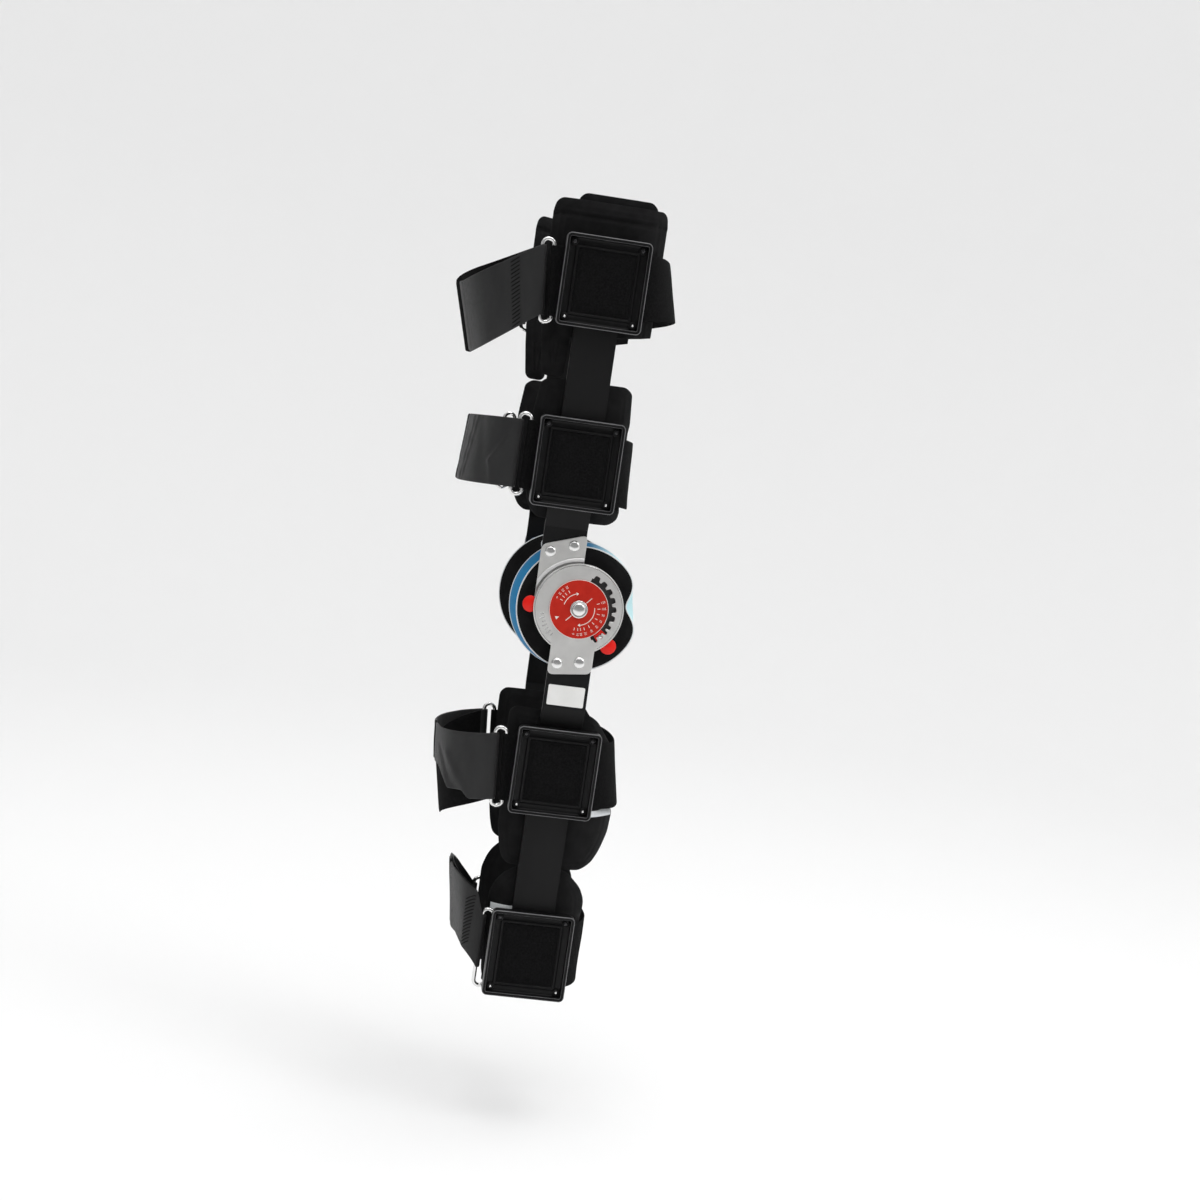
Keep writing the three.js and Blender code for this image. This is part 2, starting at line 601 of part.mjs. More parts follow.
// A wire ring, long along the bar, with half-round ends.
function wireRing() {
  const across = RING.width / 2 - RING.wire;
  const straight = RING.height / 2 - RING.wire - across;
  const centres = [];
  for (const end of [1, -1]) {
    for (let k = 0; k <= RING_ARC_STEPS; k++) {
      const angle = (Math.PI * k) / RING_ARC_STEPS;
      const turn = end > 0 ? angle : angle + Math.PI;
      centres.push({ y: across * Math.cos(turn), z: end * straight + across * Math.sin(turn), turn });
    }
  }
  const count = centres.length;
  const points = [];
  for (const { y, z, turn } of centres) {
    for (let k = 0; k < RING_SIDES; k++) {
      const angle = (2 * Math.PI * k) / RING_SIDES;
      const out = RING.wire * Math.cos(angle);
      points.push(
        new THREE.Vector3(RING.wire * Math.sin(angle), y + out * Math.cos(turn), z + out * Math.sin(turn)),
      );
    }
  }
  const triangles = [];
  for (let i = 0; i < count; i++) {
    for (let k = 0; k < RING_SIDES; k++) {
      const next = (k + 1) % RING_SIDES;
      const [here, ahead] = [i * RING_SIDES, ((i + 1) % count) * RING_SIDES];
      const [a, b, c, d] = [here + k, here + next, ahead + k, ahead + next];
      triangles.push([a, c, d], [a, d, b]);
    }
  }
  return facingOut(points, triangles);
}

// Padded panels, lofted level by level behind the bar

// How far a panel's outer face lies out from the bar's inner face: flat behind the bar,
// bowed in past its edges, and inside the front strap's loop.
function padFace(cuff, v) {
  const frame = barFrame(cuff.upper);
  const past = Math.max(0, Math.abs(v) - BAR_WIDTH / 2);
  const bowed = -PAD_GAP - PAD.bow * past * past;
  const { loopV, y, lean } = cuff.front;
  if (v <= loopV) return bowed;
  const reach = onBar(frame, STRAP_U, 0, alongBar(frame, cuff.z)).x;
  const depth = y - (Math.abs(lean) * STRAP_WIDTH) / 2 - frame.y - loopV;
  const share = Math.min((v - loopV) / depth, 1);
  const inset = reach * (1 - (1 - share ** LOOP_POWER) ** (1 / LOOP_POWER));
  return Math.min(bowed, STRAP_U - STRAP_THICK / 2 - PAD_STRAP_GAP - inset * PAD_STRAP_LEAN);
}

// Where the upper bar bends towards the leg, the panel behind it gives way.
function padGiveWay(cuff, z) {
  const frame = barFrame(cuff.upper);
  if (!cuff.upper || z >= frame.z) return 0;
  return (-UPPER_BAR.shift * (frame.z - z)) / BEND_LENGTH;
}

function padPanel(cuff) {
  const frame = barFrame(cuff.upper);
  const rows = PADS[cuff.name];
  const [outer, inner] = [[], []];
  rows.forEach(({ z, back, front }, level) => {
    const atEnd = level === 0 || level === rows.length - 1;
    const full = atEnd ? PAD.end : PAD.thick;
    const [outerRow, innerRow] = [[], []];
    for (let k = 0; k <= PAD_COLUMNS; k++) {
      const share = k / PAD_COLUMNS;
      const v = back + (front - back) * share;
      const middle = padFace(cuff, v) + padGiveWay(cuff, z) - PAD.thick / 2;
      const edge = 1 - Math.abs(2 * share - 1) ** PAD.edgePower;
      const half = (PAD.edge + (full - PAD.edge) * edge) / 2;
      const w = alongBar(frame, z);
      outerRow.push(new THREE.Vector3(middle + half, v, w));
      innerRow.push(new THREE.Vector3(middle - half, v, w));
    }
    outer.push(outerRow);
    inner.push(innerRow);
  });
  return wall(outer, inner);
}

// Straps: a band along a line of stations, each with a point, a lean outwards, a lean forwards
// and how much of the width is gathered up from the lower edge

function band(stations) {
  const [outer, inner] = [[], []];
  stations.forEach(({ x, y, z, outLean, lean, gather }, i) => {
    const before = stations[Math.max(0, i - 1)];
    const after = stations[Math.min(stations.length - 1, i + 1)];
    const out = new THREE.Vector2(after.y - before.y, before.x - after.x).setLength(STRAP_THICK / 2);
    const edges = [gather - STRAP_WIDTH / 2, STRAP_WIDTH / 2];
    const row = (sign) =>
      edges.map((rise) => {
        const [edgeX, edgeY] = [x + outLean * rise, y + lean * rise];
        return new THREE.Vector3(edgeX + sign * out.x, edgeY + sign * out.y, z + rise);
      });
    outer.push(row(1));
    inner.push(row(-1));
  });
  return wall(outer, inner);
}

// Half a turn round a ring's bar, from one face of the leg side to the other.
function wrapRound(centre, fromDeg, toDeg) {
  return Array.from({ length: WRAP_STEPS + 1 }, (_, k) => {
    const p = polar(WRAP_R, fromDeg + ((toDeg - fromDeg) * k) / WRAP_STEPS);
    return { x: centre.x + p.x, y: centre.y + p.y };
  });
}

// A round-cornered half loop from (reach, y0) to the middle of the leg at y1.
function quarterLoop(reach, y0, y1) {
  return Array.from({ length: LOOP_STEPS / 2 + 1 }, (_, k) => {
    const angle = (Math.PI * k) / LOOP_STEPS;
    const power = 2 / LOOP_POWER;
    return { x: reach * Math.cos(angle) ** power, y: y0 + (y1 - y0) * Math.sin(angle) ** power };
  });
}

// Mirrors the outer side's half of a strap onto the inner side, sharing the middle station.
function wholeLoop(half, placeAt, frame) {
  const reach = Math.max(...half.map((p) => p.x));
  const placed = half.map((p) => ({ ...p, ...placeAt(p), outLean: (Math.tan(frame.flare) * p.x) / reach }));
  const mirrored = placed.slice(0, -1).map((p) => ({ ...p, x: -p.x, outLean: -p.outLean }));
  return [...placed, ...mirrored.reverse()];
}

// How far a length has come from one end of a stretch to the other, from 0 to 1.
const shareOf = (value, from, to) => THREE.MathUtils.clamp((value - from) / (to - from), 0, 1);

function frontStrap(cuff) {
  const frame = barFrame(cuff.upper);
  const { ring, front } = cuff;
  const w = alongBar(frame, cuff.z);
  const ringBar = onBar(frame, RING_U, ring.v + RING.width / 2 - RING.wire, w + ring.lift);
  const underPlate = onBar(frame, STRAP_U, 0, w);
  const loopY = frame.y + front.loopV;
  const half = [
    { x: ringBar.x - WRAP_R, y: ringBar.y + front.tail },
    { x: ringBar.x - WRAP_R, y: ringBar.y + front.tail / 2 },
    ...wrapRound(ringBar, 180, 360),
    { x: underPlate.x, y: frame.y },
    ...quarterLoop(underPlate.x, loopY, front.y),
  ];
  const placeAt = ({ y }) => {
    const byRing = shareOf(y, frame.y, ringBar.y);
    const round = shareOf(y, loopY, front.y);
    const z = cuff.z + ring.lift * byRing + front.lift * round;
    return { z, lean: ring.lean * byRing + front.lean * round, gather: 0 };
  };
  return band(wholeLoop(half, placeAt, frame));
}

// The rear strap's free end comes back over itself from the ring, lying close outside the first layer.
function rearStrap(cuff) {
  const frame = barFrame(cuff.upper);
  const { ring, rear } = cuff;
  const ringW = alongBar(frame, cuff.z) + ring.lift;
  const ringBar = onBar(frame, RING_U, ring.v - RING.width / 2 + RING.wire, ringW);
  const layer = quarterLoop(ringBar.x - WRAP_R, ringBar.y, rear.y);
  const tail = [];
  let length = 0;
  for (let k = 1; k < layer.length - 1 && length < TAIL_LENGTH; k++) {
    const [before, here, after] = [layer[k - 1], layer[k], layer[k + 1]];
    length += Math.hypot(here.x - before.x, here.y - before.y);
    const merged = THREE.MathUtils.smoothstep(length, 0, LAYER_MERGE);
    const out = new THREE.Vector2(before.y - after.y, after.x - before.x);
    out.setLength(2 * WRAP_R + (LAYER_STEP - 2 * WRAP_R) * merged);
    tail.unshift({ x: here.x + out.x, y: here.y + out.y });
  }
  const half = [...tail, ...wrapRound(ringBar, 0, 180), ...layer.slice(1)];
  const placeAt = ({ y }) => {
    const round = shareOf(y, ringBar.y, rear.y);
    const gather = rear.gather * (1 - THREE.MathUtils.smoothstep(ringBar.y - y, 0, GATHER_LENGTH));
    const z = cuff.z + ring.lift + rear.lift * round;
    return { z, lean: ring.lean + (rear.lean - ring.lean) * round, gather };
  };
  return band(wholeLoop(half, placeAt, frame));
}

// One upright with its hinge and the hard and padded pieces of its cuffs
function upright(sideName) {
  const lateral = sideName === "lateral";
  const side = new THREE.Group();
  addPiece(side, `upper_bar_${sideName}`, bar(true), MATERIALS.blackPlastic);
  addPiece(side, `lower_bar_${sideName}`, bar(false), MATERIALS.blackPlastic);
  if (lateral) lateralHinge(side);
  else medialHinge(side);
  addPiece(side, `condyle_pad_${sideName}`, condylePad(), MATERIALS.blueCloth);
  for (const cuff of CUFFS) {
    const frame = barFrame(cuff.upper);
    const onThisBar = barGroup(side, cuff.upper);
    addPiece(onThisBar, `pad_${cuff.name}_${sideName}`, padPanel(cuff), MATERIALS.blackCloth);
    const station = new THREE.Group();
    station.position.z = alongBar(frame, cuff.z);
    onThisBar.add(station);
    addPiece(station, `plate_${cuff.name}_${sideName}`, strapPlate(!lateral), MATERIALS.blackPlastic);
    if (lateral) addPiece(station, `patch_${cuff.name}`, fabricPatch(), MATERIALS.blackCloth);
    const ring = wireRing().rotateX(-Math.atan(cuff.ring.lean));
    ring.translate(RING_U, cuff.ring.v, cuff.ring.lift);
    addPiece(station, `ring_${cuff.name}_${sideName}`, ring, MATERIALS.chrome);
  }
  if (lateral) {
    const labelX = LOWER_BAR.inX + BAR_THICK + GAP;
    const outline = roundRect(LABEL.width, LABEL.height, LABEL.corner);
    const label = sideways(outline, labelX, labelX + LABEL.thick, 1);
    addPiece(side, "size_label", label.translate(0, LOWER_BAR_Y, LABEL.z), MATERIALS.paper);
  }
  return side;
}

const brace = new THREE.Group();
brace.add(upright("lateral"));
const innerSide = upright("medial");
innerSide.scale.x = -1;
brace.add(innerSide);
for (const cuff of CUFFS) {
  addPiece(brace, `front_strap_${cuff.name}`, frontStrap(cuff), MATERIALS.webbing);
  addPiece(brace, `rear_strap_${cuff.name}`, rearStrap(cuff), MATERIALS.webbing);
}

export default brace;
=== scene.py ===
"""A hinged knee brace: the looks of its bars, dial hinges, strap plates, pads and straps.

Sizes are in millimetres until a mesh is made. +X is the outer (lateral) side, +Y is forwards and +Z runs up
the leg.
"""

import math

import bmesh
import bpy
import numpy as np
from mathutils import Matrix, Vector, noise
from mathutils.geometry import delaunay_2d_cdt


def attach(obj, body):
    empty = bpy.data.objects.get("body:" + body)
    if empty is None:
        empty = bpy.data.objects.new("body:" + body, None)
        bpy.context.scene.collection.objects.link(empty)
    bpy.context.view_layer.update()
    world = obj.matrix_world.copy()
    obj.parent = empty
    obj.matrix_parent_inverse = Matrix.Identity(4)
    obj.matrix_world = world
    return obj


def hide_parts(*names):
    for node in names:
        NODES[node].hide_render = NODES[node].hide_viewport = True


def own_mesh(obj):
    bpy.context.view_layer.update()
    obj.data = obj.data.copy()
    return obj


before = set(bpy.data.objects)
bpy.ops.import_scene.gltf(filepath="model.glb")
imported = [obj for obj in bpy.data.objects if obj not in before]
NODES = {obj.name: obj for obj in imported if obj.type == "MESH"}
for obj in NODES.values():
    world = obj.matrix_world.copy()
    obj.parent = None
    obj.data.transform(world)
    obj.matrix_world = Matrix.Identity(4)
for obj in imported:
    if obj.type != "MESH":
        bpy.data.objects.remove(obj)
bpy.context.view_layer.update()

MM = 0.001
GAP = 0.3
# Radius of a closed tip, limit of a mitred corner, and how close two points are one
TIP_R = 0.01
MITRE_LIMIT = 0.35
POINT_GAP = 1e-5
# How finely curved forms are meshed
STEPS = {"ridge_along": 40, "ridge_across": 13, "notch": 9, "screw": 28, "ring_side": 11, "soften": 9,
         "tape_along": 24, "tape_across": 5, "cord_loop": 24, "stitch": 7}
DRESS = {"weld": 1e-6, "segments": 2, "angle": math.radians(40)}
SIDES = {"lateral": 1, "medial": -1}

# Bars: where each one starts to flare, past its sideways bend
BAR_WIDTH = 34
UPPER_BAR = {"x": 74, "y": -17.5, "z": 77, "flare": math.radians(4)}
LOWER_BAR = {"x": 66.1, "y": -0.5, "z": -95, "flare": math.radians(3.5)}
UPPER_BEND = {"shift": 6, "length": 16}

# Hinge plates, by their faces along X
UPPER_BAR_IN = 68
LOWER_BAR_IN = 73.1
REAR = {"x0": 71.3, "x1": 72.8, "r": 35}
FRONT = {"x0": 76.4, "x1": 77.9, "r": 35.5}
STOP_X = {"x0": 74.6, "x1": 76.1}
SHEET_EDGE = 0.22
SUNK = 0.1
TAB_CORNER = 5
UPPER_TAB = {"top_back": 46.5, "top_front": 58}
LOWER_TAB = {"half": 17.2, "bottom_back": -53.5, "bottom_front": -49.5}
STEP = {"inner": 35.2, "outer": 40.2, "line": 0.55, "groove_x": 72.1, "top_x": 73.04, "power": 0.7,
        "front_y": -0.25, "back_y": -34.75}
STEPPED_TAB = {"clear": 0.5, "front_y": -0.2, "back_y": -34.8}
UPPER_RIVETS = {"back": (-27.5, 41.8), "front": (-9.6, 48.1)}
LOWER_RIVETS = {"back": (-11.1, -44.1), "front": (6.2, -41.5)}
RIVET = {"hole_r": 2.8, "shaft_r": 2.4, "head_r": 4.5, "swell": 0.05, "lip": 0.3, "rise": 2.5, "power": 0.72,
         "dome_deg": range(10, 90, 8)}
PIVOT = {"hole_r": 4.4, "shaft_r": 4, "dome_r": 5.1, "dome_from": 0.75, "dome_rise": 1.7, "power": 0.8,
         "dome_deg": range(5, 90, 8)}
# Height over its seat and radius along the rim of the pivot
PIVOT_RIM = ((0, 6.8), (0.25, 7), (0.7, 6.9), (0.95, 6.5), (0.95, 5.5), (0.75, 5.2))
INNER_BOSS = {"r": 33, "clear": 0.05}
RIM_BEAD = {"inner": 33.9, "outer": 34.7, "from": -58, "to": 238, "rise": 0.18, "edge": 0.1}
RIM_STROKES = {"inner": 27.4, "short": 30.2, "long": 31.4, "from": 194, "to": 236, "pitch": 6, "half": 0.8,
               "rise": 0.14, "edge": 0.07}
WINDOW = {"inner": 22, "tooth": 26.4, "notch": 29.6, "from": -60, "to": 74, "half": 0.37}
# Middle and pitch of the window's notches, in degrees
NOTCHES = ((-54, 10), (-44, 10), (-34, 10), (-24, 10), (-9, 15),
           (6, 15), (21, 15), (36, 15), (51, 15), (66, 15))
STOP_ARM = {"inner": 19, "half": 9, "overlap": 0.6, "thinner": 0.15, "edge": 0.2}
STOP_THUMB = {"root": 32.5, "root_half": 5, "tip": 44, "tip_half": 6.5, "edge": 0.4}
STOP_TOOTH = {"inner": 23.7, "outer": 25.6, "half": 6, "sunk": 0.3, "edge": 0.2}
STOP_PIN = {"from_axis": 27.6, "r": 1.5, "cone": 0.4}
FLEXION_STOP_DEG = -44
EXTENSION_STOP_DEG = 181

# Dial, with the angle of each setting's number
DIAL = {"x0": 78.2, "x1": 79.2, "r": 23.3, "rim": 22.9, "back_edge": 0.2, "front_edge": 0.25, "line": 0.1,
        "hub": 3, "segments": 120}
DIAL_WHITE_BANDS = (3, 4)
FLEXION_MARKS = {120: 23, 105: 8, 90: -7, 75: -22, 60: -37, 45: -52, 30: -67, 20: -77.5, 10: -85.5, 0: -95.7}
EXTENSION_MARKS = {0: 158.6, 10: 147.6, 20: 137.6, 30: 126.4}
NUMBER = {"r": 19.6, "size": 2.5, "thick": 0.06, "lift": 0.03, "turn_over": -0.2}
MARK = {"sunk": 0.05, "rise": 0.09, "edge": 0.03}
SHORT_LINE = {"inner": 14.6, "outer": 16.8, "width": 0.5}
LONG_LINE = {"inner": 7.6, "outer": 13.4, "width": 0.6}
LONG_LINE_DEGREES = (47, 227)
ARROWS = ({"r": 12.2, "start": 168, "end": 106}, {"r": 12.4, "start": 12, "end": -78})
ARROW_LINE = {"half": 0.28, "head_half": 1.3, "head_degrees": 9}
TRIANGLE = {"tip": 16.4, "base": 19.4, "degrees": 207, "half": 4}

# Padding behind the hinge. Its base and its face have a middle and a dent each.
CONDYLE = {"points": 144, "dent_deg": 9, "dent_half": 17, "dent_r": 40}
CONDYLE_BASE = {"x": 55, "y": -2, "z": 1.5, "dent": 3.2}
CONDYLE_FACE = {"x": 66, "y": 1.2, "z": -0.4, "dent": 11.3}
# Rows of x and radius from its back to its face, with the finish from each row to the next
CONDYLE_ROWS = (
    ("pad_cloth", ((51.2, 4), (51, 30), (51.2, 43), (51.9, 47.5), (53, 49.7))),
    ("gusset_blue", ((54.3, 50.4), (55.5, 50.5), (57.5, 50.4), (60, 50.1), (62.5, 49.6), (64.5, 49.2))),
    ("pad_cloth", ((66, 48.8), (66.7, 47.9), (67.2, 45), (67.45, 40), (67.5, 30), (67.5, 4))),
)
CONDYLE_PIPING = ({"x": 66.2, "r": 48.8, "cord": 0.55}, {"x": 54.4, "r": 50.4, "cord": 0.5})
CORD_LOOP = {"x": 60, "r": 53.8, "degrees": 124, "long": 5, "wide": 3, "cord": 0.6}

# Strap plates. A row of their section has an inset, the level that its height is counted from, and the height
PLATE = {"width": 66, "height": 70, "corner": 4, "least_corner": 0.9, "u": 5.6, "floor_u": 8.6, "rim_u": 13.6}
PLATE_ROWS = (
    (1.2, "u", 0), (0.4, "u", 0.1), (0, "u", 0.6),
    (0, "rim_u", -0.55), (0.1, "rim_u", -0.2), (0.35, "rim_u", -0.02), (0.6, "rim_u", 0),
    (2.2, "rim_u", -0.2), (2.5, "rim_u", -0.32), (2.7, "rim_u", -0.7),
    (3.0, "floor_u", 1.1), (3.4, "floor_u", 0.35), (4.1, "floor_u", 0), (7.5, "floor_u", 0),
    (8.0, "floor_u", 0.3), (8.4, "floor_u", 0.9), (8.8, "floor_u", 1.2), (9.3, "floor_u", 1.3),
    (9.8, "floor_u", 1.2),
)
PATCH_WELL_ROWS = ((10.2, "floor_u", 0.9), (10.4, "floor_u", 0.4), (10.5, "floor_u", 0.1))
# Bands of a plate's section that get the lighter edge finish: painted highlights along the rim's edges
PLATE_HIGHLIGHT_BANDS = (3, 4, 5, 8)
# What stands in a plate's corners: rows of height over the floor and radius
SCREW_INSET = 6.5
CORNER_PARTS = {
    "moulded_black": ((-0.4, 3.1), (1.2, 3), (1.55, 2.7), (1.6, 2.1), (1.2, 1.9)),
    "screw_black": ((0.8, 1.85), (1.35, 1.8), (1.75, 1.3), (1.9, 0.6), (1.92, 0.01)),
    # bright_steel: a dot on the lower two screws only, a painted glint
    "bright_steel": ((1.6, 1.1), (2.1, 1), (2.35, 0.5), (2.4, 0.01)),
}
PATCH = {"inset": 10.8, "columns": 46, "rows": 50, "back_u": 0.2, "edge_u": 0.7, "crown": 1.1,
         "crown_edge": 4.5, "pile": 0.25, "pile_scale": 6, "pile_edge": 3}

# Straps and rings
STRAP_WIDTH = 53
STRAP_THICK = 1.3
STRAP_U = 4.3
BAND_EDGE = {"columns": (0.975, 0.992, 1), "from": 0.95, "inside": 25, "least": 0.05}
WRAP_R = 2.5
RING = {"wire": 1.6, "width": 12, "height": 66, "u": 1.4}
LAYER_STEP = 2
LAYER_MERGE = 28
LOOP_POWER = 2.4
STATION_STEP = 2.2
GATHER_LENGTH = 25
FLARE = {"rise": 6, "fall": 21, "round": 15}
BULGE_LENGTH = 12
THREAD = {"radius": 0.34, "pitch": 3, "inset": 1.5, "lift": 0.12}
FRONT_SOFT = {"scale": 30, "height": 0.9}
REAR_SOFT = {"scale": 34, "height": 0.7, "lift": 0.3, "fade": 6}
FREE_HEM = {"length": 12, "fade": 3, "swell": 0.6}
SATIN_PAST_RING = 3

# Each cuff's plate is centred at z. Its ring lies v behind the bar's middle, lift above the plate's centre.
# A lean is how far forwards a ring or a strap goes for each millimetre up its width.
# The front strap has a tail past the ring, leaves the plate at loop_v and comes round the leg at y, where its
# lower edge is gathered up.
# The rear strap comes round the leg at y and climbs by lift. Near the ring its lower edge is gathered up and
# its upper edge flares up. Its inner layer is out of line by inner_lift, leans by inner_lean more, rises at
# its upper edge by inner_flare and stands out by bulge between the free ends. Its inner-side half is skewed
# forwards by skew. Its free end stops short of the leg's middle by tail_stop. A seam may cross it at stitch
# from the ring, with a slant. The stitches reach stitch_half each way and rise by stitch_rise.
PLAIN_REAR = {"gather": 0, "flare": 0, "inner_lift": 0, "inner_lean": 0, "inner_flare": 0, "bulge": 0,
              "skew": 0, "stitch": None}
CUFFS = {
    "upper_thigh": {
        "z": 251,
        "ring": {"v": -42.5, "lift": -3.7, "lean": -0.093},
        "front": {"tail": 6, "loop_v": 24, "y": 47, "lift": 0, "lean": -0.27, "gather": 8},
        "rear": PLAIN_REAR | {"y": -113, "lift": -32.3, "lean": -0.28, "inner_flare": 9, "bulge": 3.6,
                              "skew": 9, "tail_stop": 20, "stitch": 18.5, "stitch_half": 3.2,
                              "stitch_rise": 1.2, "slant": 0},
    },
    "lower_thigh": {
        "z": 112,
        "ring": {"v": -43.5, "lift": 1.9, "lean": 0},
        "front": {"tail": 6, "loop_v": 18, "y": 32.6, "lift": -5, "lean": -0.06, "gather": 0},
        "rear": PLAIN_REAR | {"y": -99, "lift": -0.9, "lean": 0.075, "tail_stop": 8},
    },
    "upper_calf": {
        "z": -130,
        "ring": {"v": -43.5, "lift": -1.8, "lean": -0.072},
        "front": {"tail": 6, "loop_v": 18, "y": 55.4, "lift": -1.5, "lean": -0.19, "gather": 0},
        "rear": PLAIN_REAR | {"y": -88.5, "lift": -6.2, "lean": -0.1, "inner_lift": -21, "inner_lean": -0.1,
                              "tail_stop": 5},
    },
    "lower_calf": {
        "z": -279,
        "ring": {"v": -35, "lift": 0, "lean": 0},
        "front": {"tail": 3, "loop_v": 18, "y": 46.5, "lift": 0, "lean": 0, "gather": 0},
        "rear": PLAIN_REAR | {"y": -60.5, "lift": 29, "lean": -0.13, "gather": 10, "flare": 11,
                              "tail_stop": 5, "stitch": 11, "stitch_half": 3.4, "stitch_rise": 9,
                              "slant": 0.08},
    },
}
# The upper calf's free end is folded up from its lower edge: distance behind the ring, and how much is folded
FOLDED_END = {"upper_calf": ((0, 18, 23, 34, 40), (0, 0, 6.4, 6.4, 22))}

# Creases of the rear straps: both ends of a line, as distance from the ring and height across, then its width
# and its depth
CREASES = {
    "upper_thigh": [(8, 24, 12, -26, 5, 0.5), (26, 26, 34, -20, 6, -0.5)],
    "lower_thigh": [(3, 17, 19, -8, 2.4, 1.7), (19, -8, 14, -25, 2.6, 1.5), (40, 24, 24, -24, 6, -0.7),
                    (50, 26, 60, -26, 1.3, 0.9), (60, 26, 68, -26, 1.3, 0.9)],
    "upper_calf": [(22, -26, 44, 4, 4, 1.2), (34, -26, 60, 2, 4, -0.9), (18, 26, 30, 0, 6, 0.6)],
    "lower_calf": [(10, 26, 16, -26, 4, 0.6)],
}

# Padded panels: a row for each level, with the panel's back and front edges measured from the bar's middle
PAD = {"thick": 8, "edge": 2.6, "bow": 0.018, "gap": 0.6}
PAD_STRAP = {"gap": 1.2, "lean": 1.1, "fade": 9, "under": 1}
PAD_STEP = 1.4
PAD_CORNER = 5
PAD_SOFTEN = 3.5
PAD_EDGE = {"levels": (0.35, 0.8), "crowd": 0.35, "round": 4, "least": 0.02, "taper": 9}
PAD_SOFT = {"wide": 26, "wide_height": 0.9, "fine": 9, "fine_height": 0.3, "fine_seed": 5, "share": 0.5,
            "fade": 5}
PAD_QUIET = {"bar_margin": 4, "fade": 8}
TWO_LAYERS = {"over_thick": 5, "under_thick": 3.2, "under_u": -4.8}
WHITE_TAPE = {"lift": 0.5, "thick": 0.7}
WHITE_TAPES = {
    "upper_calf": {"from_v": 29, "to_v": 54, "top_z": -161, "bottom_z": -166},
    "lower_calf": {"from_v": -34, "to_v": -16, "top_z": -243.5, "bottom_z": -249},
}
PAD_HEM = {"inset": 7.5, "half": 0.9, "depth": 0.8}
PAD_SEAM = {"z": 299.5, "half": 1.5, "depth": 1.7}
PADS = {
    "upper_thigh": [(311.5, -41, 44), (303, -43.5, 46), (262, -44, 46), (216, -41, 45.5), (211, -40.3, 45),
                    (210, -40.2, -17), (206, -40, -18.5), (175.6, -36, -19.5)],
    "lower_thigh": [(175, -30, 32), (172, -35, 37), (146, -38, 39), (112, -39, 39), (80, -34, 41),
                    (70, -29, 40), (66, -25, 34)],
    "upper_calf": [(-84, -37, 24), (-88, -40, 30), (-110, -40, 46), (-155, -38, 51), (-164, -37, 55.5),
                   (-182, -36.5, 54), (-196, -34, 48.5), (-206, -31, 42), (-210.5, -27, 34)],
    "lower_calf": [(-211, -17, 22), (-217, -26, 28), (-225, -32, 36), (-236, -36, 41), (-265, -36, 41),
                   (-300, -34, 38), (-313, -30, 35), (-317, -25, 30)],
}
UNDER_LAYER = [(317, -23, 33), (315.5, -25, 35), (310, -26, 37), (286, -26, 37)]

# Smooth random heights: a start for each kind of soft piece, and how far a seed shifts them
SEEDS = {"patch": 0, "lateral_pad": 0, "medial_pad": 11, "front_strap": 3, "rear_strap": 17}
SEED_SHIFT = (7.3, 3.1, 5.7)

# Camera of the photograph, in pixels of its 1200-pixel frame and in the brace's own axes
PHOTO_WIDTH = 1200
FOCAL_PIXELS = 2100
SENSOR_MM = 36
CLIP_START = 0.05
CAMERA_PLACE = (1696.9, -200.1, 126.0)
CAMERA_RIGHT = (0.1210, 0.9830, 0.1380)
CAMERA_DOWN = (0.0882, 0.1278, -0.9879)

# Floor with a curved rim, and soft lights with their place and size in metres and their power in watts
FLOOR_Z = -425
BOWL = {"rings": (0.01, 700, 1600), "floor_r": 2600, "curve_r": 1200, "height": 3400, "step_deg": 6,
        "segments": 96}
LIGHTS = {
    "top_soft": {"place": (0.5, 0.1, 2.0), "size": (1.6, 1.6), "power": 20},
    "key_soft": {"place": (1.4, 1.7, 1.3), "size": (0.9, 0.9), "power": 8},
    "side_soft": {"place": (1.2, -1.9, 0.9), "size": (0.8, 1.6), "power": 1.4},
}


# Materials

